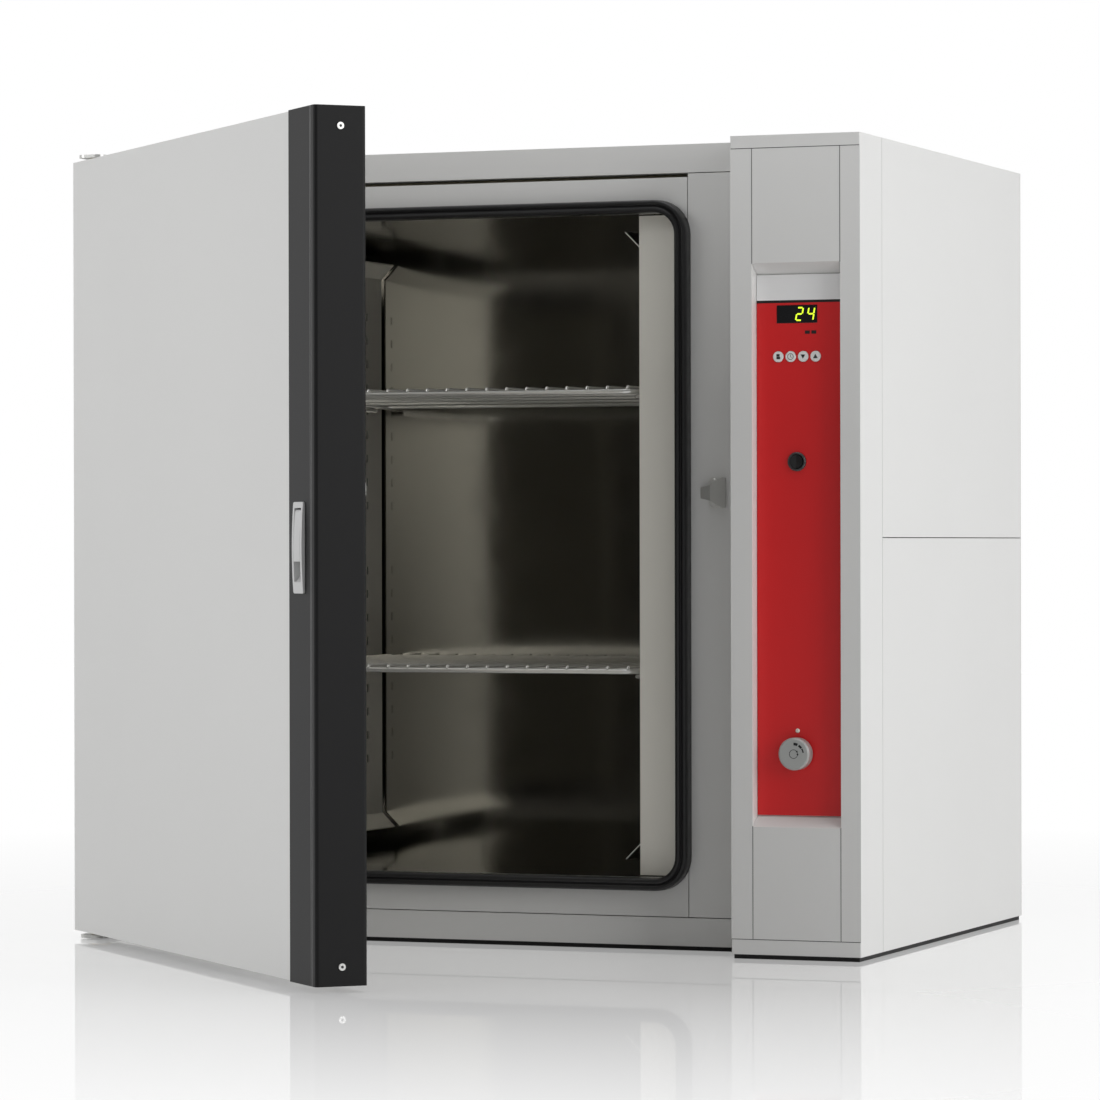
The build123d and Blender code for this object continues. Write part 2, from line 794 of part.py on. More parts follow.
with BuildPart() as timer_key:
    key(-0.5)
    chamfer(timer_key.faces().sort_by(Axis.Y)[0].edges(), 0.4)
timer_key.part.label = "timer_key"
export_step(timer_key.part, "parts/timer_key.step")

with BuildPart() as down_key:
    key(0.5)
    chamfer(down_key.faces().sort_by(Axis.Y)[0].edges(), 0.4)
down_key.part.label = "down_key"
export_step(down_key.part, "parts/down_key.step")

with BuildPart() as up_key:
    key(1.5)
    chamfer(up_key.faces().sort_by(Axis.Y)[0].edges(), 0.4)
up_key.part.label = "up_key"
export_step(up_key.part, "parts/up_key.step")

# Mains switch, a round bezel and body with a rocker on pins in its well
bezel_rise = 2.5
well_depth = 6.5
rocker_axis_y = recess_floor + 1.5
with BuildPart() as switch_body:
    with BuildSketch(facing_front(recess_floor)):
        with Locations(switch_place):
            Circle(switch_radius)
    extrude(amount=bezel_rise)
    chamfer(switch_body.faces().sort_by(Axis.Y)[0].edges(), 0.7)
    with BuildSketch(facing_front(recess_floor)):
        with Locations(switch_place):
            Circle(switch_radius - 0.8)
    extrude(amount=-24)
    with BuildSketch(facing_front(recess_floor - bezel_rise)):
        with Locations(switch_place):
            Circle(rocker_radius + 0.5)
    extrude(amount=-well_depth, mode=Mode.SUBTRACT)
    with BuildSketch(Plane.XY.offset(switch_middle - switch_radius)):
        with Locations((control_centre, rocker_axis_y)):
            Circle(rocker_pin_radius + pin_clearance / 2)
    extrude(amount=2 * switch_radius, mode=Mode.SUBTRACT)
switch_body.part.label = "switch_body"
export_step(switch_body.part, "parts/switch_body.step")

rocker_lean = radians(rocker_tilt)
rocker_plane = Plane(
    origin=(control_centre, rocker_axis_y, switch_middle),
    x_dir=(cos(rocker_lean), -sin(rocker_lean), 0),
    z_dir=(-sin(rocker_lean), -cos(rocker_lean), 0),
)
with BuildPart() as switch_rocker:
    with BuildSketch(rocker_plane.offset(-1)):
        Circle(rocker_radius)
    extrude(amount=4.8)
    with BuildSketch(Plane(rocker_plane.origin, x_dir=rocker_plane.x_dir, z_dir=(0, 0, -1))):
        with BuildLine():
            Polyline(
                (-2 * rocker_radius, 5),
                (-rocker_radius, 3.8),
                (0, 2.7),
                (rocker_radius, 3.8),
                (2 * rocker_radius, 5),
                close=True,
            )
        make_face()
    extrude(amount=rocker_radius, both=True, mode=Mode.SUBTRACT)
    with BuildSketch(Plane.XY.offset(switch_middle - switch_radius + 1)):
        with Locations((control_centre, rocker_axis_y)):
            Circle(rocker_pin_radius)
    extrude(amount=2 * switch_radius - 2)
switch_rocker.part.label = "switch_rocker"
export_step(switch_rocker.part, "parts/switch_rocker.step")

# Over-temperature control: a body behind the fascia, its spindle and its knob
knob_gap = 1.0
knob_back = recess_floor - knob_gap
with BuildPart() as limit_thermostat:
    with BuildSketch(facing_front(insert_face + sheet)):
        with Locations(knob_place):
            Circle(17)
    extrude(amount=-26)
    with BuildSketch(facing_front(insert_face + sheet)):
        with Locations(knob_place):
            Circle(bush_hole)
    extrude(amount=fascia_thickness + sheet + 2)
    with BuildSketch(facing_front(recess_floor - 2)):
        with Locations(knob_place):
            Circle(spindle_radius + pin_clearance / 2)
    extrude(amount=-22, mode=Mode.SUBTRACT)
limit_thermostat.part.label = "limit_thermostat"
export_step(limit_thermostat.part, "parts/limit_thermostat.step")

with BuildPart() as knob_spindle:
    with BuildSketch(facing_front(recess_floor + 19)):
        with Locations(knob_place):
            Circle(spindle_radius)
    extrude(amount=28)
knob_spindle.part.label = "knob_spindle"
export_step(knob_spindle.part, "parts/knob_spindle.step")

with BuildPart() as limit_knob:
    with BuildSketch(facing_front(knob_back)):
        with Locations(knob_place):
            Circle(knob_radius)
    extrude(amount=knob_height)
    chamfer(limit_knob.faces().sort_by(Axis.Y)[0].edges(), 1.5)
    with BuildSketch(facing_front(knob_back)):
        with Locations(knob_place):
            Circle(bush_hole + 2.5)
    extrude(amount=2.5, mode=Mode.SUBTRACT)
    with BuildSketch(facing_front(knob_back)):
        with Locations(knob_place):
            Circle(spindle_radius + pin_clearance / 2)
    extrude(amount=8.1, mode=Mode.SUBTRACT)
limit_knob.part.label = "limit_knob"
export_step(limit_knob.part, "parts/limit_knob.step")

# Pilot lamp over the knob
with BuildPart() as pilot_lamp:
    with BuildSketch(facing_front(insert_face + sheet + 4)):
        with Locations(lamp_place):
            Circle(lamp_radius)
    extrude(amount=fascia_thickness + sheet + 5)
    chamfer(pilot_lamp.faces().sort_by(Axis.Y)[0].edges(), 0.8)
pilot_lamp.part.label = "pilot_lamp"
export_step(pilot_lamp.part, "parts/pilot_lamp.step")

# Fan motor on the partition, its shaft and the wheel in the right duct
fan_place = (fan_back, fan_height)
motor_face = bay_left + sheet
with BuildPart() as fan_motor:
    with BuildSketch(facing_right(motor_face)):
        with Locations(fan_place):
            RectangleRounded(2 * motor_radius + 10, 2 * motor_radius + 10, 8)
    extrude(amount=3)
    with BuildSketch(facing_right(motor_face + 3)):
        with Locations(fan_place):
            Circle(motor_radius / 2)
    extrude(amount=8)
    with BuildSketch(facing_right(motor_face + 11)):
        with Locations(fan_place):
            Circle(motor_radius)
    extrude(amount=motor_length)
    chamfer(fan_motor.faces().sort_by(Axis.X)[-1].edges(), 4)
    with BuildSketch(facing_right(motor_face)):
        with Locations(fan_place):
            Circle(shaft_radius + pin_clearance / 2)
    extrude(amount=motor_length, mode=Mode.SUBTRACT)
fan_motor.part.label = "fan_motor"
export_step(fan_motor.part, "parts/fan_motor.step")

wheel_back = chamber_right - 7
wheel_front = wheel_back - fan_depth
with BuildPart() as fan_shaft:
    with BuildSketch(facing_right(wheel_front - 2)):
        with Locations(fan_place):
            Circle(shaft_radius)
    extrude(amount=motor_face + motor_length - 2 - wheel_front)
fan_shaft.part.label = "fan_shaft"
export_step(fan_shaft.part, "parts/fan_shaft.step")

with BuildPart() as fan_wheel:
    with BuildSketch(facing_right(wheel_back - sheet)):
        with Locations(fan_place):
            Circle(fan_radius)
    extrude(amount=sheet)
    with BuildSketch(facing_right(wheel_front)):
        with Locations(fan_place):
            Circle(2.5 * shaft_radius)
            with PolarLocations(0.7 * fan_radius, fan_blades):
                Rectangle(0.55 * fan_radius, sheet, rotation=35)
    extrude(amount=fan_depth - sheet)
    with BuildSketch(facing_right(wheel_front)):
        with Locations(fan_place):
            Circle(shaft_radius + pin_clearance / 2)
    extrude(amount=fan_depth, mode=Mode.SUBTRACT)
fan_wheel.part.label = "fan_wheel"
export_step(fan_wheel.part, "parts/fan_wheel.step")

# Heater, a sheathed rod that loops round the fan
heater_plane = chamber_right - right_duct / 2
heater_high = fan_height + heater_half_span
heater_end = motor_face + 8
with BuildPart() as heater_element:
    with BuildLine() as path:
        FilletPolyline(
            (heater_end, heater_near, heater_low),
            (heater_plane, heater_near, heater_low),
            (heater_plane, heater_near, heater_high),
            (heater_plane, heater_far, heater_high),
            (heater_plane, heater_far, heater_low),
            (heater_end, heater_far, heater_low),
            radius=12,
        )
    with BuildSketch(Plane(origin=path.line @ 0, z_dir=path.line % 0)):
        RegularPolygon(heater_radius, rod_sides)
    sweep(path=path.line)
heater_element.part.label = "heater_element"
export_step(heater_element.part, "parts/heater_element.step")


# Sensors, thin rods through the wall into the right duct, flanged to the partition
with BuildPart() as duct_sensors:
    for height in (probe_height, bulb_height):
        with BuildSketch(facing_right(right_guide + 9)):
            with Locations((sensor_back, height)):
                Circle(sensor_radius)
        extrude(amount=motor_face + 8 - right_guide - 9)
        with BuildSketch(facing_right(motor_face)):
            with Locations((sensor_back, height)):
                Circle(7)
        extrude(amount=3)
duct_sensors.part.label = "duct_sensors"
export_step(duct_sensors.part, "parts/duct_sensors.step")

# Gland for the mains cord, in the back panel
cord_radius = 4.2
gland_radius = 8.0
with BuildPart() as cord_gland:
    with BuildSketch(facing_front(back)):
        with Locations((inlet_x, inlet_z)):
            RegularPolygon(13, 6)
    extrude(amount=-6)
    with BuildSketch(facing_front(back + 6)):
        with Locations((inlet_x, inlet_z)):
            Circle(10.5)
    extrude(amount=-12)
    chamfer(cord_gland.faces().sort_by(Axis.Y)[-1].edges(), 2)
    with BuildSketch(facing_front(back)):
        with Locations((inlet_x, inlet_z)):
            Circle(gland_radius)
    extrude(amount=10)
    with BuildSketch(facing_front(back - sheet)):
        with Locations((inlet_x, inlet_z)):
            RegularPolygon(12, 6)
    extrude(amount=4)
    with BuildSketch(facing_front(back + 18)):
        with Locations((inlet_x, inlet_z)):
            Circle(cord_radius)
    extrude(amount=28, mode=Mode.SUBTRACT)
cord_gland.part.label = "cord_gland"
export_step(cord_gland.part, "parts/cord_gland.step")

# Vent spigot, a tube from the chamber through the back panel
spigot_reach = 18.0
with BuildPart() as vent_spigot:
    with BuildSketch(facing_front(back + spigot_reach)):
        with Locations((vent_x, vent_height)):
            Circle(vent_radius + vent_wall)
    extrude(amount=back + spigot_reach - chamber_back - sheet)
    with BuildSketch(facing_front(back + sheet)):
        with Locations((vent_x, vent_height)):
            Circle(vent_radius + vent_wall + 9)
    extrude(amount=sheet)
    with BuildSketch(facing_front(back + spigot_reach)):
        with Locations((vent_x, vent_height)):
            Circle(vent_radius)
    extrude(amount=back + spigot_reach - chamber_back, mode=Mode.SUBTRACT)
vent_spigot.part.label = "vent_spigot"
export_step(vent_spigot.part, "parts/vent_spigot.step")

# Hinge brackets, plates over and under the cabinet's left corner with a pin each
bracket_front = column_front - bracket_reach
bracket_back = fold_back - 2
screw_radius = 2.0
screw_places = [(pivot_x, front + 8), (pivot_x, front + 18)]


def bracket(level, thickness, pin):
    """A plate at one level, with a pin that reaches the other way."""
    with BuildSketch(Plane.XY.offset(level)) as outline:
        patch((left, bracket_front), (left + bracket_width, bracket_back))
        fillet(outline.vertices().group_by(Axis.Y)[0], 8)
        with Locations(*screw_places):
            Circle(screw_radius + 0.2, mode=Mode.SUBTRACT)
    extrude(outline.sketch, amount=thickness)
    with BuildSketch(Plane.XY.offset(level)) as pin_end:
        with Locations((pivot_x, pivot_y)):
            Circle(pin_radius)
    extrude(pin_end.sketch, amount=pin)


with BuildPart() as hinge_brackets:
    bracket(top, bracket_thickness, -pin_length)
    bracket(bottom, -bracket_thickness, pin_length)
hinge_brackets.part.label = "hinge_brackets"
export_step(hinge_brackets.part, "parts/hinge_brackets.step")

with BuildPart() as hinge_screws:
    with BuildSketch(Plane.XY.offset(bottom - bracket_thickness), Plane.XY.offset(top)):
        with Locations(*screw_places):
            Circle(screw_radius)
    extrude(amount=bracket_thickness)
    with BuildSketch(Plane.XY.offset(top + bracket_thickness)):
        with Locations(*screw_places):
            Circle(2 * screw_radius)
    extrude(amount=1.6)
    chamfer(hinge_screws.edges().group_by(Axis.Z)[-1], 0.6)
hinge_screws.part.label = "hinge_screws"
export_step(hinge_screws.part, "parts/hinge_screws.step")

# Striker, a screwed plate with a hooked tongue that narrows to the left
striker_right = striker_left + striker_width
with BuildPart() as latch_striker:
    with BuildSketch(Plane.XY.offset(striker_bottom)):
        folded(
            [
                (striker_right, front),
                (striker_right + 1.5, front - 4),
                (striker_right - 9, front - striker_rise),
                (striker_left - 4.5, front - 0.7 * striker_rise),
            ],
            Side.RIGHT,
        )
    extrude(amount=striker_height)
    with BuildSketch(facing_front(front)):
        with BuildLine():
            outline = Polyline(
                (striker_right + 2, striker_middle),
                (striker_right + 2, striker_middle + 13.5),
                (striker_right - 1, striker_middle + 13.5),
                (striker_right - 9, striker_middle + 7),
                (striker_left - 6, striker_middle + 4.8),
                (striker_left - 6, striker_middle),
            )
            mirror(outline, about=Plane.XZ.offset(-striker_middle))
        make_face()
    extrude(amount=2 * striker_rise, mode=Mode.INTERSECT)
    with BuildSketch(facing_front(front)):
        with Locations((striker_left + striker_width / 2, striker_middle)):
            RectangleRounded(striker_width, striker_height, 2)
        with Locations((striker_left + 5.2, striker_middle)):
            with GridLocations(0, striker_screw_pitch, 1, 2):
                Circle(screw_radius + 0.2, mode=Mode.SUBTRACT)
    extrude(amount=sheet)
latch_striker.part.label = "latch_striker"
export_step(latch_striker.part, "parts/latch_striker.step")

with BuildPart() as striker_screws:
    with BuildSketch(facing_front(front)):
        with Locations((striker_left + 5.2, striker_middle)):
            with GridLocations(0, striker_screw_pitch, 1, 2):
                Circle(screw_radius)
    extrude(amount=sheet)
    with BuildSketch(facing_front(front - sheet)):
        with Locations((striker_left + 5.2, striker_middle)):
            with GridLocations(0, striker_screw_pitch, 1, 2):
                Circle(1.6 * screw_radius)
    extrude(amount=1.6)
    chamfer(striker_screws.edges().group_by(Axis.Y)[0], 0.6)
striker_screws.part.label = "striker_screws"
export_step(striker_screws.part, "parts/striker_screws.step")

# Door skin, a shallow pan that is open towards the chamber and the trim
skin_back = door_inner + sheet
with BuildPart() as door_skin:
    with BuildSketch(leaf(skin_back)):
        patch((-pivot_inset, door_bottom), (trim_start, door_top))
    extrude(amount=pivot_depth - skin_back)
    with BuildSketch(leaf(skin_back)):
        patch((sheet - pivot_inset, door_bottom + sheet), (trim_start, door_top - sheet))
    extrude(amount=pivot_depth - skin_back - sheet, mode=Mode.SUBTRACT)
    with Locations((pivot_x, pivot_y, door_bottom + cabinet_height / 2)):
        Cylinder(bush_radius + pin_clearance, 2 * cabinet_height, mode=Mode.SUBTRACT)
door_skin.part.label = "door_skin"
export_step(door_skin.part, "parts/door_skin.step")

# Edge trim, a hollow moulding round the door's free edge
trim_lap = 3.5
trim_bottom = door_bottom - trim_overhang
trim_top = door_top + trim_overhang
cavity_left = trim_start + trim_lap + trim_wall
cavity_right = door_edge - trim_wall
groove_place = door_edge - trim_groove
bolt_slot_top = striker_middle + bolt_height / 2 + 1
bolt_slot_bottom = striker_middle - bolt_height / 2 - 1
case_left = latch_centre - lever_width / 2 - lever_gap - case_wall
case_right = latch_centre + lever_width / 2 + lever_gap + case_wall
case_bottom = latch_bottom + 3
case_top = lever_top + 4.7
trim_screw_places = [(0, door_top - 15.8), (0, door_bottom + 15)]
with BuildPart() as door_trim:
    with BuildSketch(section(trim_top)) as outline:
        patch((trim_start, door_inner), (door_edge, pivot_depth))
        fillet(outline.vertices().sort_by(Axis.X)[-2:], 3)
        patch((trim_start, door_inner), (trim_start + trim_lap, pivot_depth - 2 * trim_wall), mode=Mode.SUBTRACT)
        patch((groove_place - 0.6, pivot_depth - 1), (groove_place + 0.6, pivot_depth), mode=Mode.SUBTRACT)
    extrude(amount=trim_top - trim_bottom)
    with BuildSketch(section(trim_top - trim_wall)):
        patch((cavity_left, door_inner + trim_wall), (cavity_right, pivot_depth - trim_wall))
    extrude(amount=trim_top - trim_bottom - 2 * trim_wall, mode=Mode.SUBTRACT)
    with BuildSketch(leaf(pivot_depth)):
        patch((case_left - 0.1, case_bottom - 0.1), (case_right + 0.1, case_top + 0.1))
    extrude(amount=-trim_wall - 1, mode=Mode.SUBTRACT)
    with BuildSketch(leaf(door_inner)):
        patch((cavity_left, bolt_slot_bottom), (latch_centre - 0.5, bolt_slot_top))
    extrude(amount=trim_wall + 1, mode=Mode.SUBTRACT)
    with BuildSketch(across(door_edge)):
        with Locations(*trim_screw_places):
            Circle(0.8 * screw_radius)
    extrude(amount=trim_wall, mode=Mode.SUBTRACT)
door_trim.part.label = "door_trim"
export_step(door_trim.part, "parts/door_trim.step")

# Door liner, a sheet pressed out towards the seal
liner_edge = trim_start + trim_lap - 0.3
press_slope = 30
with BuildPart() as door_liner:
    with BuildSketch(leaf(door_inner)):
        patch((-pivot_inset, door_bottom), (liner_edge, door_top))
    extrude(amount=sheet)
    press_low = (liner_margin, door_bottom + liner_margin)
    press_high = (liner_edge - 0.5, door_top - liner_margin)
    with BuildSketch(leaf(door_inner)):
        patch(press_low, press_high)
    extrude(amount=-liner_step, taper=press_slope / 2)
    with BuildSketch(leaf(door_inner + sheet)):
        patch((press_low[0] + sheet, press_low[1] + sheet), (press_high[0] - sheet, press_high[1] - sheet))
    extrude(amount=-liner_step, taper=press_slope / 2, mode=Mode.SUBTRACT)
door_liner.part.label = "door_liner"
export_step(door_liner.part, "parts/door_liner.step")

# Mineral wool inside the door
with BuildPart() as door_insulation:
    with BuildSketch(leaf(skin_back + wool_clearance)):
        patch(
            (bush_radius + 2, door_bottom + sheet + wool_clearance),
            (trim_start - wool_clearance, door_top - sheet - wool_clearance),
        )
    extrude(amount=pivot_depth - skin_back - sheet - 2 * wool_clearance)
door_insulation.part.label = "door_insulation"
export_step(door_insulation.part, "parts/door_insulation.step")

# Bushes in the door's top and bottom that turn on the hinge pins
with BuildPart() as hinge_bushes:
    flange_height = door_bottom_gap - 0.4
    with Locations((pivot_x, pivot_y, door_bottom), (pivot_x, pivot_y, door_top - bush_length)):
        Cylinder(bush_radius, bush_length, align=on_face)
    with Locations((pivot_x, pivot_y, door_bottom - flange_height), (pivot_x, pivot_y, door_top)):
        Cylinder(bush_radius + bush_flange, flange_height, align=on_face)
    bore_length = pin_length + 1
    with Locations((pivot_x, pivot_y, bottom), (pivot_x, pivot_y, top - bore_length)):
        Cylinder(pin_radius + pin_clearance, bore_length, align=on_face, mode=Mode.SUBTRACT)
hinge_bushes.part.label = "hinge_bushes"
export_step(hinge_bushes.part, "parts/hinge_bushes.step")


# Latch case, a bowed frame with a well for the lever and a scoop for a finger
latch_top = latch_bottom + latch_height
latch_middle = (latch_bottom + latch_top) / 2
rim = pivot_depth + latch_rise
crest = rim + latch_bow
window_bottom = lever_bottom - lever_gap
window_top = lever_top + 3 * lever_gap
lever_pivot_out = pivot_depth - 2.5
lever_pivot_height = lever_top - 5
hub_radius = 3.0
trunnion_clearance = 0.08
with BuildPart() as latch_case:
    with BuildSketch(across(latch_centre + latch_width / 2)):
        with BuildLine():
            Polyline((rim, latch_bottom), (pivot_depth, latch_bottom), (pivot_depth, latch_top), (rim, latch_top))
            ThreePointArc((rim, latch_bottom), (crest, latch_middle), (rim, latch_top))
        make_face()
    extrude(amount=latch_width)
    fillet(latch_case.edges().filter_by(lambda e: abs(e.length - latch_rise) < 0.01), 2)
    with BuildSketch(leaf(pivot_depth)):
        patch((case_left, case_bottom), (case_right, case_top))
    extrude(amount=-case_depth)
    with BuildSketch(leaf(crest)):
        patch((case_left + case_wall, window_bottom), (case_right - case_wall, window_top))
    extrude(amount=-(crest - pivot_depth), mode=Mode.SUBTRACT)
    with BuildSketch(leaf(pivot_depth)):
        patch((case_left + case_wall, window_bottom - 2), (case_right - case_wall, case_top - case_wall))
    extrude(amount=case_wall - case_depth, mode=Mode.SUBTRACT)
    with BuildSketch(across(case_right - case_wall)):
        with Locations((crest + 6, window_bottom - 5)):
            Circle(13.5)
    extrude(amount=lever_width + 2 * lever_gap, mode=Mode.SUBTRACT)
    with BuildSketch(across(case_right)):
        with Locations((lever_pivot_out, lever_pivot_height)):
            Circle(trunnion_radius + trunnion_clearance)
    extrude(amount=case_right - case_left, mode=Mode.SUBTRACT)
latch_case.part.label = "latch_case"
export_step(latch_case.part, "parts/latch_case.step")

# Latch lever, a bowed plate with moulded trunnions that turn in the case's sides
with BuildPart() as latch_lever:
    with BuildSketch(across(latch_centre + lever_width / 2)):
        with BuildLine():
            Polyline(
                (crest - 0.15, lever_bottom),
                (crest - lever_thickness, lever_bottom),
                (crest - lever_thickness, lever_pivot_height),
                (lever_pivot_out, lever_top),
                (lever_pivot_out + hub_radius, lever_top),
                (rim, lever_top - 1.5),
            )
            ThreePointArc(
                (crest - 0.15, lever_bottom),
                (crest - 0.1, (lever_bottom + lever_top) / 2),
                (rim, lever_top - 1.5),
            )
        make_face()
        with Locations((lever_pivot_out, lever_pivot_height)):
            Circle(hub_radius)
    extrude(amount=lever_width)
    with BuildSketch(across(latch_centre + lever_width / 2 + lever_gap + case_wall - 0.2)):
        with Locations((lever_pivot_out, lever_pivot_height)):
            Circle(trunnion_radius)
    extrude(amount=lever_width + 2 * lever_gap + 2 * case_wall - 0.4)
latch_lever.part.label = "latch_lever"
export_step(latch_lever.part, "parts/latch_lever.step")

# Latch bolt, a claw that reaches out of the door's inner side behind the striker
claw_left = cavity_left + bolt_nib + 0.5
claw_right = claw_left + bolt_thickness
claw_end = door_inner - bolt_reach
with BuildPart() as latch_bolt:
    with BuildSketch(section(striker_middle + bolt_height / 2)):
        patch((claw_left, claw_end), (claw_right, door_inner + trim_wall + 3))
        patch((claw_right, claw_end), (claw_right + bolt_nib, claw_end + bolt_thickness))
    extrude(amount=bolt_height)
    with BuildSketch(leaf(door_inner + trim_wall + slide_gap)):
        with Locations((claw_left + 8, striker_middle)):
            Rectangle(16, 2 * bolt_height)
    extrude(amount=3)
latch_bolt.part.label = "latch_bolt"
export_step(latch_bolt.part, "parts/latch_bolt.step")

# Screws in the door's end face
with BuildPart() as trim_screws:
    with BuildSketch(across(door_edge)):
        with Locations(*trim_screw_places):
            Circle(1.5 * screw_radius)
    extrude(amount=-1.2)
    with BuildSketch(across(door_edge)):
        with Locations(*trim_screw_places):
            Circle(0.8 * screw_radius)
    extrude(amount=trim_wall)
trim_screws.part.label = "trim_screws"
export_step(trim_screws.part, "parts/trim_screws.step")
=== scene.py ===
# %% [markdown]
# # A laboratory oven with its door open
#
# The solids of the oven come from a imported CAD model, in metres, with +Z up. This
# lesson gives every solid its finish, makes the fine pieces that solids tell badly,
# such as wire shelves and printed signs, and sets up the camera, lamps and floor.

# %% Load the frame
from math import cos, pi, radians, sin

import bmesh
import bpy
from mathutils import Matrix, Vector


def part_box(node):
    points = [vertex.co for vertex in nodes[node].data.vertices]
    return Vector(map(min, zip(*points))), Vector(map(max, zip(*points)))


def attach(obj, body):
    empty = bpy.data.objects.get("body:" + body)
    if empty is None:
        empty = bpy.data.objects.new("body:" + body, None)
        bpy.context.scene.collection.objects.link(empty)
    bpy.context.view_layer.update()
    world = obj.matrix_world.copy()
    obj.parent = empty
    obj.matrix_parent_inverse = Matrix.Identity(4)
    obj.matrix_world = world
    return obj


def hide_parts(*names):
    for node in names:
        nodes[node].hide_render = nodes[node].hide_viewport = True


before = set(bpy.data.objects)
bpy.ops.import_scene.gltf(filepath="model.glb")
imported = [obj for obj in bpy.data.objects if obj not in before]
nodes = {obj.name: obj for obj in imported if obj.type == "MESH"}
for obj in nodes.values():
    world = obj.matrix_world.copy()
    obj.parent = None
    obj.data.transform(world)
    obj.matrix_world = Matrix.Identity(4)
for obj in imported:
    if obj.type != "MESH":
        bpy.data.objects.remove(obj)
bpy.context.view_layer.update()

# %% [markdown]
# Nothing that is made here may make the oven larger than it is.

# %% [markdown]
# ## A short way to write shaders
#
# A finish on the real oven is never one flat colour: powder coat has orange peel, a
# rolled sheet has grain, and a moulding has a fine spark-eroded skin. Each of these is
# maths on the place of a point. Wiring Math nodes by hand is slow to read, so a number
# in a tree is wrapped in a small class, and Python's own operators add the nodes.


# %% A number that flows through a tree
class Flow:
    """A socket whose arithmetic adds Math nodes to its tree."""

    def __init__(self, tree, socket):
        self.tree = tree
        self.socket = socket

    def maths(self, operation, *values):
        made = self.tree.add("ShaderNodeMath", {"operation": operation}, dict(enumerate(values)))
        return self.tree.flow(made)

    def __add__(self, other):
        return self.maths("ADD", self, other)

    def __radd__(self, other):
        return self.maths("ADD", other, self)

    def __sub__(self, other):
        return self.maths("SUBTRACT", self, other)

    def __rsub__(self, other):
        return self.maths("SUBTRACT", other, self)

    def __mul__(self, other):
        return self.maths("MULTIPLY", self, other)

    def __rmul__(self, other):
        return self.maths("MULTIPLY", other, self)

    def __gt__(self, other):
        return self.maths("GREATER_THAN", self, other)

    def __lt__(self, other):
        return self.maths("LESS_THAN", self, other)


# %% One way to add any other node
class Tree:
    """A node tree, of a material, the world or a modifier."""

    def __init__(self, graph):
        self.graph = graph

    def add(self, kind, settings=None, sockets=None):
        """Adds a node, sets its settings, and then gives its sockets values or links."""
        made = self.graph.nodes.new(kind)
        for name, value in (settings or {}).items():
            setattr(made, name, value)
        for key, value in (sockets or {}).items():
            if isinstance(value, Flow):
                self.graph.links.new(value.socket, made.inputs[key])
            else:
                made.inputs[key].default_value = value
        return made

    def flow(self, made, key=0):
        """One of a node's outputs, ready for arithmetic or for another node's socket."""
        return Flow(self, made.outputs[key])

    def ramp(self, value, start, end, low, high):
        """A value turned into a straight run from low to high, held beyond its two ends."""
        ends = {"Value": value, 1: start, 2: end, 3: low, 4: high}
        return self.flow(self.add("ShaderNodeMapRange", None, ends))


class Finish(Tree):
    """A material with one Principled shader and the object's own coordinates."""

    def __init__(self, name, **fixed):
        self.material = bpy.data.materials.new(name)
        self.material.use_nodes = True
        super().__init__(self.material.node_tree)
        self.shader = self.graph.nodes["Principled BSDF"]
        for key, value in fixed.items():
            self.shader.inputs[key.replace("_", " ")].default_value = value
        self.place = self.flow(self.add("ShaderNodeTexCoord"), "Object")

    def axes(self):
        """The three coordinates of a point on the object, in metres."""
        split = self.add("ShaderNodeSeparateXYZ", None, {0: self.place})
        return [self.flow(split, k) for k in range(3)]

    def noise(self, scale, detail=2.0, stretch=(1, 1, 1)):
        """Noise about a half, with a scale per metre and a stretch for grain."""
        mapped = self.add("ShaderNodeMapping", None, {"Vector": self.place, "Scale": stretch})
        fed = {"Vector": self.flow(mapped), "Scale": scale, "Detail": detail}
        return self.flow(self.add("ShaderNodeTexNoise", None, fed))

    def between(self, share, low, high):
        """A colour between two, each a triple or a link."""
        low = low if isinstance(low, Flow) else (*low, 1)
        high = high if isinstance(high, Flow) else (*high, 1)
        made = self.add("ShaderNodeMix", {"data_type": "RGBA"}, {0: share, 6: low, 7: high})
        return self.flow(made, 2)

    def set(self, key, value):
        """Links a value to one of the shader's sockets."""
        self.graph.links.new(value.socket, self.shader.inputs[key])

    def bump(self, height, depth, strength=1.0):
        """Raises the surface by a height from 0 to 1 times a depth in metres."""
        fed = {"Height": height, "Distance": depth, "Strength": strength}
        self.set("Normal", self.flow(self.add("ShaderNodeBump", None, fed)))


def shade(colour, share):
    """A colour at a share of its brightness."""
    return tuple(share * c for c in colour)


print("shader helpers ready")

# %% [markdown]
# ## Powder coat
#
# The casing is sheet steel with a baked powder coat. The powder melts into a skin with
# a fine orange peel, about a millimetre across, and a soft sheen. A small bump from
# noise gives the peel, and slow noise shifts the colour by a hair, because no coat is
# quite even.


# %% Make the powder coat
def powder_coat(name, colour, roughness=0.42):
    """Orange peel over a colour that wanders by a hair."""
    peel_scale, peel_depth = 900, 0.00006
    coat = Finish(name)
    slow = coat.noise(5, 3)
    peel = coat.noise(peel_scale, 2)
    coat.set("Base Color", coat.between(slow, colour, shade(colour, 0.965)))
    coat.set("Roughness", roughness + 0.08 * peel)
    coat.bump(peel, peel_depth, 0.5)
    return coat.material


pale_coat = powder_coat("pale powder coat", (0.72, 0.72, 0.71))
print("made", pale_coat.name)

# %% [markdown]
# ## Stainless steel
#
# The chamber is lined with mirror-like stainless sheet. It is never quite flat, so a
# very shallow, slow bump bends what it reflects. The air guides have a duller, brushed
# skin, whose grain runs up the sheet: the same noise, squeezed along one axis. Zinc
# plate, brass and wire are turned or drawn, and take the brushed skin with other grain.

# %% Make the mirror-like sheet
dish_edge_x = -0.064
wave_depth = 0.0012


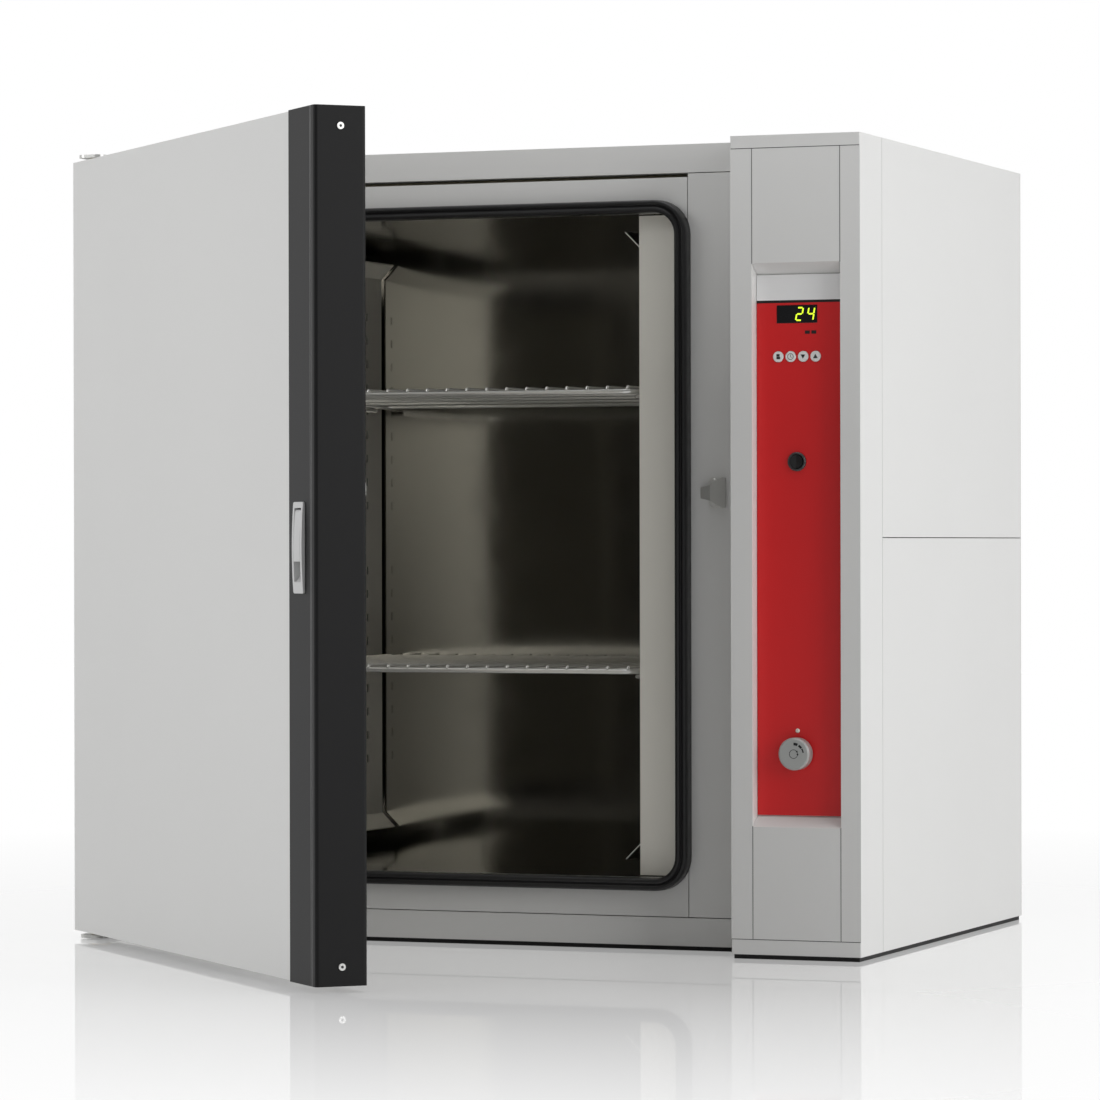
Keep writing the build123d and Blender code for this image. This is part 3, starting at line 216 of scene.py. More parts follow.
def mirror_steel(name, colour, dish=0.0):
    """Polished sheet, which may be dished to the left of the chamber's middle."""
    steel = Finish(name, Metallic=1.0)
    slow = steel.noise(3.5, 1)
    smear = steel.noise(26, 4)
    steel.set("Base Color", steel.between(slow, colour, shade(colour, 0.82)))
    steel.set("Roughness", 0.05 + 0.08 * smear)
    leftward = dish_edge_x - steel.axes()[0]
    beyond = leftward.maths("MAXIMUM", leftward, 0.0)
    steel.bump(wave_depth * slow + dish * beyond * beyond, 1.0)
    return steel.material


sheet_grey = (0.33, 0.32, 0.29)
chamber_steel = mirror_steel("chamber steel", sheet_grey)
back_steel = mirror_steel("back sheet steel", sheet_grey, 0.27)
print("made", chamber_steel.name, "and", back_steel.name)


# %% Make the brushed and plated metals
def brushed_steel(name, colour, roughness, metal, stretch=(1, 1, 0.02)):
    """A finish with fine grain, which the stretch draws out along an axis."""
    grain_scale, grain_depth = 1400, 0.00002
    steel = Finish(name, Metallic=metal)
    grain = steel.noise(grain_scale, 2, stretch)
    slow = steel.noise(8, 2)
    steel.set("Base Color", steel.between(slow, colour, shade(colour, 0.9)))
    steel.set("Roughness", roughness + 0.14 * grain)
    steel.bump(grain, grain_depth, 0.6)
    return steel


even = (1, 1, 1)
along_y = (1, 0.1, 1)
guide_grey = (0.86, 0.84, 0.77)
guide_steel = brushed_steel("guide steel", guide_grey, 0.32, 0.35).material
zinc_sheet = brushed_steel("zinc sheet", (0.60, 0.60, 0.58), 0.34, 0.9, along_y).material
plated = brushed_steel("zinc plate", (0.74, 0.74, 0.72), 0.24, 0.6, even).material
wire_steel = brushed_steel("shelf wire", (0.88, 0.88, 0.85), 0.10, 0.7, even).material
bush_brass = brushed_steel("turned brass", (0.72, 0.52, 0.22), 0.25, 1.0).material
sheath_steel = brushed_steel("heater sheath", (0.30, 0.27, 0.24), 0.34, 1.0).material
print("made the brushed and plated metals")

# %% [markdown]
# The ends of the right guide are turned into the chamber as lips, which look black from
# the front. They are painted near black by a mask on place, a painted shade for the dark
# duct behind them. The rest of the right guide is painted a lighter grey than the left
# guide's same steel, a painted light where the lamps fall on it. Each lip lies beyond a
# fold, which runs slantwise in X and Z.

# %% Make the right guide's steel
guide_face_x = 0.1474
upper_fold_z, upper_fold_sum = 0.6432, 0.7916
lower_fold_z, lower_fold_difference = 0.0953, 0.0531
lipped = brushed_steel("right guide steel", guide_grey, 0.32, 0.1)
lip_x, _, lip_z = lipped.axes()
inboard = lip_x < guide_face_x
upper_lip = (lip_z > upper_fold_z) * (lip_x + lip_z > upper_fold_sum) * inboard
lower_lip = (lip_z < lower_fold_z) * (lip_x - lip_z > lower_fold_difference) * inboard
# Painted light: a lighter grey than guide_grey, where the lamps fall on the guide's face.
painted_lit_grey = lipped.between(lipped.noise(8, 2), (0.93, 0.91, 0.84), (0.88, 0.86, 0.79))
painted_duct_shade = (0.004, 0.004, 0.004)
# Painted shade: near black on the two lips, for the dark duct behind them.
lipped.set("Base Color", lipped.between(upper_lip + lower_lip, painted_lit_grey, painted_duct_shade))
print("made", lipped.material.name)

# %% [markdown]
# ## Mouldings and rubber
#
# Moulded plastic has a fine spark-eroded skin and no metal. Silicone rubber is darker
# and a little shinier, and mineral wool is rough and coarse. They differ only in
# colour, roughness and the depth and scale of the skin, so one function makes them all.


# %% Make the mouldings
def moulding(name, colour, roughness, depth=0.00003, scale=1600):
    """A skin of fine noise over a colour that wanders a little."""
    plastic = Finish(name)
    fine = plastic.noise(scale, 2)
    slow = plastic.noise(9, 3)
    plastic.set("Base Color", plastic.between(slow, colour, shade(colour, 0.9)))
    plastic.set("Roughness", roughness + 0.1 * fine)
    plastic.bump(fine, depth, 0.6)
    return plastic.material


handle_plastic = moulding("light handle", (0.60, 0.60, 0.60), 0.34)
knob_plastic = moulding("grey knob", (0.40, 0.41, 0.40), 0.30)
dark_bezel = moulding("dark bezel", (0.045, 0.045, 0.046), 0.30)
black_plastic = moulding("black plastic", (0.014, 0.014, 0.015), 0.38)
white_cap = moulding("white key cap", (0.84, 0.84, 0.83), 0.38)
seal_rubber = moulding("seal silicone", (0.010, 0.010, 0.011), 0.30, 0.00005, 700)
base_rubber = moulding("base rubber", (0.006, 0.006, 0.006), 0.7, 0.0001, 700)
wool_fibre = moulding("mineral wool", (0.56, 0.50, 0.34), 0.85, 0.0015, 260)
motor_case = moulding("cast motor case", (0.36, 0.36, 0.37), 0.45, 0.0001, 500)
lamp_lens = moulding("lamp lens", (0.86, 0.82, 0.74), 0.18)
window_glass = moulding("display window", (0.006, 0.006, 0.007), 0.10, 0.00001)
# Black for print on keys, panel and knob, and for painted shade in the screw recesses.
print_and_shade_black = moulding("black print", (0.008, 0.008, 0.009), 0.45)
print_grey = moulding("grey print", (0.10, 0.10, 0.10), 0.45)
seam_grey = moulding("seam shadow", (0.05, 0.05, 0.05), 0.7)
print("made the mouldings")

# %% [markdown]
# The dark moulding on the door's edge has a groove near its corner. Its two shoulders
# get painted highlights, thin pale lines where they would catch the light, and the groove
# between them gets painted shade, near black. Both are masks on the distance from the
# hinge along the door, which stands at an angle, so it mixes X and Y.

# %% Make the door's edge moulding
door_turn = radians(45.3)
hinge_x, hinge_y = -0.375, -0.271
shoulder_start, groove_start, groove_end, shoulder_end = 0.6244, 0.6253, 0.6267, 0.6276
trim = Finish("dark trim", Specular_IOR_Level=0.16)
at_x, at_y, _ = trim.axes()
along = (at_x - hinge_x) * cos(door_turn) - (at_y - hinge_y) * sin(door_turn)
shoulders = (along > shoulder_start) * (along < shoulder_end)
groove = (along > groove_start) * (along < groove_end)
fine = trim.noise(1600, 2)
worn = trim.between(trim.noise(9, 3), (0.0100, 0.0100, 0.0104), (0.0085, 0.0085, 0.0088))
# Painted highlight on the two shoulders, then painted shade in the groove.
lit = trim.between(shoulders, worn, (0.20, 0.20, 0.20))
trim.set("Base Color", trim.between(groove, lit, (0.004, 0.004, 0.004)))
trim.set("Roughness", 0.40 + 0.1 * fine)
trim.bump(fine, 0.00003, 0.6)
print("made", trim.material.name)

# %% [markdown]
# The control panel is a red printed sheet with a bare white band at its top and a
# black line under it. The print has no thickness of its own, so it is a mask on the
# height of a point, in the material.

# %% Make the printed panel
line_low, band_low = 0.5856, 0.5880
panel = Finish("printed panel")
height = panel.axes()[2]
fine = panel.noise(1100, 2)
slow = panel.noise(7, 2)
red = panel.between(slow, (0.70, 0.0085, 0.0105), (0.64, 0.0080, 0.0100))
lined = panel.between(height > line_low, red, (0.006, 0.006, 0.006))
panel.set("Base Color", panel.between(height > band_low, lined, (0.86, 0.86, 0.86)))
panel.set("Roughness", 0.36 + 0.08 * fine)
panel.bump(fine, 0.00003, 0.5)
print("made", panel.material.name)

# %% [markdown]
# ## Dress the solids
#
# Each CAD node keeps its mesh, and only its material slot changes. The table of nodes
# goes by finish, because that is how a maker sorts the pieces for the paint shop.

# %% Assign the finishes
finishes = {
    pale_coat: "left_side_panel right_side_lower right_side_upper top_panel top_rail bottom_rail "
    "hinge_post striker_post chamber_surround column_left_casing column_right_casing "
    "column_top_cap column_base_cap control_insert door_skin",
    chamber_steel: "chamber_shell door_liner",
    back_steel: "chamber_back_sheet",
    lipped.material: "right_air_guide",
    guide_steel: "left_air_guide fan_wheel duct_sensors vent_spigot",
    zinc_sheet: "base_pan back_panel bay_partition",
    plated: "limit_thermostat knob_spindle fan_shaft hinge_brackets hinge_screws "
    "latch_striker striker_screws latch_bolt trim_screws",
    wire_steel: "shelf_runners upper_shelf lower_shelf heater_element",
    trim.material: "door_trim",
    handle_plastic: "latch_case latch_lever",
    knob_plastic: "limit_knob",
    dark_bezel: "switch_body",
    black_plastic: "control_unit switch_rocker cord_gland",
    white_cap: "menu_key timer_key down_key up_key",
    seal_rubber: "door_gasket",
    base_rubber: "base_strip",
    wool_fibre: "insulation_jacket door_insulation",
    motor_case: "fan_motor",
    bush_brass: "hinge_bushes",
    lamp_lens: "pilot_lamp",
    window_glass: "display_lens",
    panel.material: "control_fascia",
}
dressed = 0
for material, names in finishes.items():
    for name in names.split():
        nodes[name].data.materials.clear()
        nodes[name].data.materials.append(material)
        dressed += 1
print("dressed", dressed, "of", len(nodes))

# %% [markdown]
# ## Wire shelves
#
# A shelf is a closed bent rod, three cross rods inside it, and a row of thin wires
# over both, whose front ends are turned down. The wires repeat at one pitch, so
# Geometry Nodes make them: a line of points, and one wire instanced on each. The outer
# rod is swept along its own path. The sizes are read from the CAD box, which keeps
# each shelf in its place.


# %% Helpers that turn meshes into pieces
def place(piece, body):
    """Puts a finished piece on a body."""
    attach(piece, body)
    return piece


def finished(name, mesh, material, smooth=False):
    """A plain object from a bmesh, with one material."""
    data = bpy.data.meshes.new(name)
    mesh.to_mesh(data)
    mesh.free()
    data.materials.append(material)
    if smooth:
        data.shade_smooth()
    made = bpy.data.objects.new(name, data)
    bpy.context.scene.collection.objects.link(made)
    return made


def bridge(mesh, here, there):
    """Joins two rings of as many points with a band of faces."""
    for k in range(len(here)):
        n = (k + 1) % len(here)
        mesh.faces.new((here[k], here[n], there[n], there[k]))


def joined(name, pieces):
    """One object from several, under one name."""
    mesh = bmesh.new()
    for piece in pieces:
        mesh.from_mesh(piece.data)
    made = finished(name, mesh, pieces[0].data.materials[0], smooth=True)
    for piece in pieces:
        bpy.data.objects.remove(piece)
    return made


# %% Helpers that grow a mesh from a geometry tree
def tree_group(name, inputs):
    """A geometry tree with named size inputs."""
    group = bpy.data.node_groups.new(name, "GeometryNodeTree")
    group.interface.new_socket("Geometry", in_out="OUTPUT", socket_type="NodeSocketGeometry")
    for key, (kind, value) in inputs.items():
        socket = group.interface.new_socket(key, in_out="INPUT", socket_type=kind)
        socket.default_value = value
    tree = Tree(group)
    return tree, tree.add("NodeGroupInput"), tree.add("NodeGroupOutput")


def grown(name, tree, settings, material):
    """Runs a geometry tree and returns its result as a plain mesh object."""
    seed = bpy.data.objects.new(name, bpy.data.meshes.new(name))
    bpy.context.scene.collection.objects.link(seed)
    modifier = seed.modifiers.new("grow", "NODES")
    modifier.node_group = tree.graph
    for socket in tree.graph.interface.items_tree:
        if socket.in_out == "INPUT" and socket.name in settings:
            modifier[socket.identifier] = settings[socket.name]
    evaluated = seed.evaluated_get(bpy.context.evaluated_depsgraph_get())
    mesh = bpy.data.meshes.new_from_object(evaluated)
    seed.modifiers.remove(modifier)
    seed.data = mesh
    mesh.materials.clear()
    mesh.materials.append(material)
    mesh.shade_smooth()
    return seed


# %% The tree for rows of wires
wire_pitch, wire_count, wire_radius = 0.02, 21, 0.0015
wire_tree, wire_in, wire_out = tree_group(
    "shelf wires",
    {
        "Start": ("NodeSocketVector", (0, 0, 0)),
        "Run": ("NodeSocketVector", (0, 0.38, 0)),
        "Step": ("NodeSocketVector", (wire_pitch, 0, 0)),
        "Count": ("NodeSocketInt", wire_count),
        "Radius": ("NodeSocketFloat", wire_radius),
    },
)
link = wire_tree.flow
points = wire_tree.add(
    "GeometryNodeMeshLine",
    {"mode": "OFFSET"},
    {
        "Count": link(wire_in, "Count"),
        "Start Location": link(wire_in, "Start"),
        "Offset": link(wire_in, "Step"),
    },
)
wire = wire_tree.add("GeometryNodeCurvePrimitiveLine", None, {"End": link(wire_in, "Run")})
ring = wire_tree.add(
    "GeometryNodeCurvePrimitiveCircle", None,
    {"Resolution": 16, "Radius": link(wire_in, "Radius")},
)
rod = wire_tree.add(
    "GeometryNodeCurveToMesh", None,
    {"Curve": link(wire), "Profile Curve": link(ring), "Fill Caps": True},
)
rows = wire_tree.add(
    "GeometryNodeInstanceOnPoints", None, {"Points": link(points), "Instance": link(rod)}
)
real = wire_tree.add("GeometryNodeRealizeInstances", None, {0: link(rows)})
painted = wire_tree.add(
    "GeometryNodeSetMaterial", None, {"Geometry": link(real), "Material": wire_steel}
)
wire_tree.graph.links.new(painted.outputs[0], wire_out.inputs[0])
print("shelf wire tree has", len(wire_tree.graph.nodes), "nodes")

# %% [markdown]
# A rod that is bent on a former keeps one radius at every corner. The path is given by
# its corners alone. At each, the two straight runs stop short by the reach of the bend,
# and an arc about its middle joins them. A ring of points then follows the path, and
# is kept from twisting by carrying one sideways direction along.

# %% Rods that follow a bent path
bend_steps = 8


def bent_path(corners, bend, closed):
    """The points of a path whose corners are turned with a bend radius."""
    points = [Vector(c) for c in corners]
    count = len(points)
    path = []
    for k, corner in enumerate(points):
        if not closed and k in (0, count - 1):
            path.append(corner)
            continue
        back = (points[k - 1] - corner).normalized()
        ahead = (points[(k + 1) % count] - corner).normalized()
        half = back.angle(ahead) / 2
        reach = bend / abs(sin(half) / cos(half))
        middle = corner + (back + ahead).normalized() * (bend / sin(half))
        first = corner + back * reach - middle
        last = corner + ahead * reach - middle
        for step in range(bend_steps + 1):
            turned = first.normalized().slerp(last.normalized(), step / bend_steps)
            path.append(middle + turned * bend)
    return path


def bent_rod(name, corners, radius, bend, material, closed=False, sides=16):
    """A round rod along a path of corners."""
    path = bent_path(corners, bend, closed)
    total = len(path)
    angles = [2 * pi * s / sides for s in range(sides)]
    mesh = bmesh.new()
    rings = []
    normal = None
    for k, spot in enumerate(path):
        before = path[k - 1] if (closed or k) else spot
        after = path[(k + 1) % total] if (closed or k < total - 1) else spot
        along = (after - before).normalized()
        if normal is None:
            normal = along.orthogonal().normalized()
        normal = (normal - along * normal.dot(along)).normalized()
        side = along.cross(normal)
        rings.append([
            mesh.verts.new(spot + (normal * cos(a) + side * sin(a)) * radius) for a in angles
        ])
    for k in range(total if closed else total - 1):
        bridge(mesh, rings[k], rings[(k + 1) % total])
    if not closed:
        mesh.faces.new(list(reversed(rings[0])))
        mesh.faces.new(rings[-1])
    bmesh.ops.recalc_face_normals(mesh, faces=mesh.faces)
    return finished(name, mesh, material, smooth=True)


print("bends have", bend_steps, "steps")

# %% Weave the two shelves
rod_radius, cross_radius, end_radius = 0.0025, 0.002, 0.0012
shelf_bend = 0.012
cross_count = 3
end_start, end_run = 0.0010, (0.0, -0.0014, -0.0022)
half_row = (wire_count - 1) / 2 * wire_pitch


def wire_row(name, start, run, step, count, radius):
    """A row of equal wires."""
    settings = {"Start": start, "Run": run, "Step": step, "Count": count, "Radius": radius}
    return grown(name, wire_tree, settings, wire_steel)


for shelf in ("upper_shelf", "lower_shelf"):
    low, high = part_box(shelf)
    level = low.z + rod_radius
    left, right = low.x + rod_radius, high.x - rod_radius
    front, back = low.y + rod_radius, high.y - rod_radius
    first_x = (left + right) / 2 - half_row
    top = high.z - wire_radius
    quarter = (back - front) / (cross_count + 1)
    cross_level = level + (rod_radius - cross_radius)
    corners = [(left, front), (right, front), (right, back), (left, back)]
    aside = (wire_pitch, 0.0, 0.0)
    pieces = [
        bent_rod(
            "frame rod", [(x, y, level) for x, y in corners], rod_radius, shelf_bend,
            wire_steel, closed=True,
        ),
        wire_row(
            "wires", (first_x, front, top), (0.0, back - front, 0.0), aside, wire_count,
            wire_radius,
        ),
        wire_row(
            "cross rods", (left, front + quarter, cross_level), (right - left, 0.0, 0.0),
            (0.0, quarter, 0.0), cross_count, cross_radius,
        ),
        wire_row(
            "turned ends", (first_x, front - end_start, top), end_run, aside, wire_count,
            end_radius,
        ),
    ]
    whole = joined(shelf + "_wirework", pieces)
    place(whole, shelf)
    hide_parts(shelf)
    print(whole.name, len(whole.data.polygons), "faces")

# %% [markdown]
# ## Runners and heater
#
# The shelves rest on bent rods that hook into slots in the air guides. Behind the
# guide, a sheathed heater is bent into one long loop. The CAD rods have eight sides to
# keep the solids light, so a round rod stands in for each.

# %% Bend the runners
runner_radius, runner_bend, hook_length = 0.002, 0.006, 0.017
low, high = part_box("shelf_runners")
near, far = low.y + runner_radius, high.y - runner_radius
runners = []
for level in (low.z + runner_radius, high.z - runner_radius):
    for hook, inner in ((low.x, low.x + hook_length), (high.x, high.x - hook_length)):
        plan = ((hook, near), (inner, near), (inner, far), (hook, far))
        corners = [(x, y, level) for x, y in plan]
        runners.append(bent_rod("runner", corners, runner_radius, runner_bend, wire_steel))
runner_set = joined("shelf_runner_rods", runners)
place(runner_set, "cabinet")
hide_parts("shelf_runners")
print("runners", len(runners))

# %% Bend the heater
heater_radius, heater_bend = 0.004, 0.012
low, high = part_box("heater_element")
plane = low.x + heater_radius
near, far = low.y + heater_radius, high.y - heater_radius
bottom, top = low.z + heater_radius, high.z - heater_radius
corners = [
    (high.x, near, bottom), (plane, near, bottom), (plane, near, top),
    (plane, far, top), (plane, far, bottom), (high.x, far, bottom),
]
heater = bent_rod("heater_loop", corners, heater_radius, heater_bend, sheath_steel)
place(heater, "cabinet")
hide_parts("heater_element")
print("heater", len(heater.data.polygons), "faces")

# %% [markdown]
# ## The door seal
#
# The seal is a silicone extrusion with two soft lobes, laid round the chamber's mouth.
# Its shape is one section carried along a rounded rectangle, so it is a sweep: each
# point of the path gets the section, turned to face out of the loop.


# %% Sweep a section round a rectangle
def rounded_loop(low, high, radius, steps=10):
    """Points and outward directions round a rectangle in X and Z, anticlockwise."""
    left, right = low[0] + radius, high[0] - radius
    bottom, top = low[1] + radius, high[1] - radius
    spots = []
    for x, z, turn in ((right, top, 0), (left, top, 1), (left, bottom, 2), (right, bottom, 3)):
        for step in range(steps + 1):
            angle = pi / 2 * (turn + step / steps)
            out = Vector((cos(angle), 0, sin(angle)))
            spots.append((Vector((x, 0, z)) + out * radius, out))
    return spots


seal_width, seal_corner = 0.012, 0.032
section_steps = 24
furrow_level, lobe_roundness = 0.80, 0.55
low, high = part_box("door_gasket")
depth = high.y - low.y
section = []
for step in range(section_steps + 1):
    share = step / section_steps
    lobe = abs(sin(2 * pi * share)) ** lobe_roundness
    edge = 0.0 if step in (0, section_steps) else 1.0
    rise = depth * (furrow_level + 0.20 * lobe) * edge
    section.append((seal_width * (share - 1), -rise))
mesh = bmesh.new()
loops = [
    [mesh.verts.new((spot.x + out.x * a, high.y + b, spot.z + out.z * a)) for a, b in section]
    for spot, out in rounded_loop((low.x, low.z), (high.x, high.z), seal_corner)
]
for k, here in enumerate(loops):
    bridge(mesh, here, loops[(k + 1) % len(loops)])
bmesh.ops.recalc_face_normals(mesh, faces=mesh.faces)
seal = finished("door_seal", mesh, seal_rubber, smooth=True)
place(seal, "cabinet")
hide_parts("door_gasket")
print("seal", len(seal.data.polygons), "faces")

# %% [markdown]
# ## Signs and figures
#
# The keys carry plain signs, the display shows a plain temperature, and the knob has
# printed marks. Each is a very thin inlay, under a tenth of a millimetre proud, so
# that it rides with its piece. One helper turns flat outlines, seen from the front,
# into such inlays.


# %% A helper for printed inlays
def inlays(name, outlines, face_y, material, body, proud=0.00008):
    """Thin prisms from outlines of (x, z), standing proud of a face at one Y."""
    mesh = bmesh.new()
    for outline in outlines:
        near = [mesh.verts.new((x, face_y - proud, z)) for x, z in outline]
        deep = [mesh.verts.new((x, face_y + proud, z)) for x, z in outline]
        mesh.faces.new(near)
        mesh.faces.new(list(reversed(deep)))
        for k in range(len(outline)):
            n = (k + 1) % len(outline)
            mesh.faces.new((near[k], deep[k], deep[n], near[n]))
    bmesh.ops.recalc_face_normals(mesh, faces=mesh.faces)
    place(finished(name, mesh, material), body)
    print(name, len(outlines), "outlines")


def block(x, z, wide, tall, lean=0.0):
    """A rectangle about a point, leaning to the right as it rises."""
    return [
        (x - wide / 2 - lean / 2, z - tall / 2), (x + wide / 2 - lean / 2, z - tall / 2),
        (x + wide / 2 + lean / 2, z + tall / 2), (x - wide / 2 + lean / 2, z + tall / 2),
    ]


def arc_band(x, z, inner, outer, start, end, steps=14):
    """A piece of a ring between two angles in degrees, from the right, anticlockwise."""
    angles = [radians(start + (end - start) * s / steps) for s in range(steps + 1)]
    rim = [(x + outer * cos(a), z + outer * sin(a)) for a in angles]
    return rim + [(x + inner * cos(a), z + inner * sin(a)) for a in reversed(angles)]


# %% Light the figures
glow = Finish("lit figures", Emission_Strength=1.0)
flicker = glow.noise(500, 2)
glow.set("Base Color", glow.between(flicker, (0.55, 0.85, 0.02), (0.62, 0.92, 0.04)))
glow.set("Emission Color", glow.between(flicker, (0.72, 0.95, 0.02), (0.78, 1.0, 0.04)))
window_low, window_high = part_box("display_lens")
digit_wide, digit_tall, stroke, lean = 0.0054, 0.0112, 0.0013, 0.0016
tens_inset, units_inset = 0.0165, 0.0058
upright = digit_tall / 2 - stroke * 0.6
middle_z = (window_low.z + window_high.z) / 2
segments = {
    "top": (0, 1, True), "middle": (0, 0, True), "bottom": (0, -1, True),
    "upper_left": (-1, 0.5, False), "upper_right": (1, 0.5, False),
    "lower_left": (-1, -0.5, False), "lower_right": (1, -0.5, False),
}
figures = {
    window_high.x - tens_inset: ("top", "upper_right", "middle", "lower_left", "bottom"),
    window_high.x - units_inset: ("upper_left", "upper_right", "middle", "lower_right"),
}
strokes = []
for x, lit_segments in figures.items():
    for key in lit_segments:
        side, rise, level = segments[key]
        z = middle_z + rise * digit_tall / 2
        shift = rise * lean / 2
        if level:
            strokes.append(block(x + shift, z, digit_wide - stroke, stroke))
        else:
            edge = x + side * digit_wide / 2 + shift
            strokes.append(block(edge, z, stroke, upright, lean / 2))
inlays("display_figures", strokes, window_low.y, glow.material, "cabinet")


# %% Print the keys
def front_of(name):
    """The middle of a node in X and Z, and the Y of its front."""
    low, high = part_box(name)
    return (low.x + high.x) / 2, (low.z + high.z) / 2, low.y


def two_bars(x, z):
    return [block(x, z + 0.0013, 0.0030, 0.0022), block(x + 0.0003, z - 0.0011, 0.0034, 0.0022)]


def clock(x, z):
    long_hand = block(x, z + 0.0009, 0.0005, 0.0018)
    short_hand = [
        (x, z), (x + 0.0015, z - 0.0009), (x + 0.0012, z - 0.0012), (x - 0.0002, z - 0.0003),
    ]
    return [arc_band(x, z, 0.0024, 0.0029, 0, 360, 28), long_hand, short_hand]


arrow_half, arrow_tip, arrow_foot = 0.0021, 0.0021, 0.0017


def down_arrow(x, z):
    foot = z + arrow_foot
    return [[(x - arrow_half, foot), (x, z - arrow_tip), (x + arrow_half, foot)]]


def up_arrow(x, z):
    foot = z - arrow_foot
    return [[(x - arrow_half, foot), (x + arrow_half, foot), (x, z + arrow_tip)]]


for name, sign, ink in (
    ("menu", two_bars, print_and_shade_black),
    ("timer", clock, print_grey),
    ("down", down_arrow, print_and_shade_black),
    ("up", up_arrow, print_and_shade_black),
):
    x, z, face = front_of(name + "_key")
    inlays(name + "_sign", sign(x, z), face, ink, name + "_key")

# %% Print the panel and the knob
mark_wide, mark_tall, mark_z = 0.0046, 0.0030, 0.5592
marks = [block(x, mark_z, mark_wide, mark_tall) for x in (0.3318, 0.3378)]
panel_face = front_of("control_fascia")[2]
inlays("channel_marks", marks, panel_face, print_and_shade_black, "cabinet")
knob_marks = (
    (0.0078, 0.0102, 66, 90), (0.0080, 0.0100, 36, 58), (0.0085, 0.0097, 8, 32),
    (0.0036, 0.0041, 0, 360, 32), (0.0030, 0.0046, 28, 44), (0.0030, 0.0046, -14, 4),
)
x, z, face = front_of("limit_knob")
scale = [arc_band(x, z, *mark) for mark in knob_marks]
inlays("knob_scale", scale, face, print_and_shade_black, "knob")

# %% [markdown]
# The column's casing, insert and caps meet in fine seams, which show as thin dark
# lines. Each screw in the door's end face gets a black disc in its recess, a painted
# shade for the hollow. These are inlays too.

# %% Draw the seams
seam_width = 0.0006
opening_low, opening_high = 0.1185, 0.6205
insert_low, insert_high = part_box("control_insert")
cap_low, cap_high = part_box("column_top_cap")
base_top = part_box("column_base_cap")[1].z
lines = []
for x in (insert_low.x, insert_high.x):
    for low_z, high_z in ((base_top, opening_low), (opening_high, cap_low.z)):
        lines.append(block(x, (low_z + high_z) / 2, seam_width, high_z - low_z))
seam_length = cap_high.x - cap_low.x - 0.001
for z in (base_top, cap_low.z):
    lines.append(block((cap_low.x + cap_high.x) / 2, z, seam_length, seam_width))
inlays("column_seams", lines, cap_low.y, seam_grey, "cabinet")

# %% Sink the screw recesses
screw_radius, recess_radius, recess_sides = 0.003, 0.0012, 16
recess_floor, recess_mouth = -0.0002, 0.00006
screw_low, screw_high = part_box("trim_screws")
outward = Vector((cos(door_turn), -sin(door_turn), 0))
sideways = Vector((sin(door_turn), cos(door_turn), 0))
centre_x = screw_high.x - screw_radius * sin(door_turn)
centre_y = screw_low.y + screw_radius * cos(door_turn)
angles = [2 * pi * s / recess_sides for s in range(recess_sides)]
# Painted shade: a thin black disc in each screw's recess.
mesh = bmesh.new()
for z in (screw_low.z + screw_radius, screw_high.z - screw_radius):
    centre = Vector((centre_x, centre_y, z))
    rings = []
    for lift in (recess_floor, recess_mouth):
        rings.append([
            mesh.verts.new(
                centre + outward * lift + sideways * recess_radius * cos(a)
                + Vector((0, 0, recess_radius * sin(a)))
            )
            for a in angles
        ])
    mesh.faces.new(rings[0])
    mesh.faces.new(rings[1])
    bridge(mesh, *rings)
bmesh.ops.recalc_face_normals(mesh, faces=mesh.faces)
recesses = place(finished("screw_recesses", mesh, print_and_shade_black), "door")
print("recess faces", len(recesses.data.polygons))

# %% [markdown]
# ## Camera
#
# The camera was solved from the photograph's own straight edges: a long lens, level
# with the middle of the oven, turned a little to the left. The two tiny tilts come
# from the same fit. The photograph is a square of 1100 pixels, and the fit gives its
# lengths in pixels.

# %% Set the camera
photo_side, focal_pixels, rise_pixels = 1100, 4823.6344, 1.3077
yaw, pitch, roll = 0.3709, -0.0012, -0.0019
eye = Vector((1.6758729, -4.3710653, 0.3694269))
ahead = Vector((-sin(yaw) * cos(pitch), cos(yaw) * cos(pitch), sin(pitch)))
flat_right = Vector((cos(yaw), sin(yaw), 0))
flat_up = flat_right.cross(ahead)
right_way = flat_right * cos(roll) + flat_up * sin(roll)
up_way = flat_up * cos(roll) - flat_right * sin(roll)
camera_data = bpy.data.cameras.new("photo camera")
camera_data.sensor_width = 36
camera_data.lens = focal_pixels / photo_side * 36
camera_data.shift_y = rise_pixels / photo_side
camera = bpy.data.objects.new("photo camera", camera_data)
camera.matrix_world = Matrix((
    (right_way.x, up_way.x, -ahead.x, eye.x),
    (right_way.y, up_way.y, -ahead.y, eye.y),
    (right_way.z, up_way.z, -ahead.z, eye.z),
    (0, 0, 0, 1),
))
bpy.context.scene.collection.objects.link(camera)
bpy.context.scene.camera = camera
print("lens", round(camera_data.lens, 1), "mm")

# %% [markdown]
# ## Floor, backdrop and lamps
#
# The photograph was taken on glossy white with a white backdrop, and the oven's foot
# fades into its reflection. The floor mixes a white diffuse skin with a mirror whose
# share falls off with distance in front of the oven. The world is white where the
# camera looks. Towards the front, where a studio is dark, the world is dark for metal
# too.

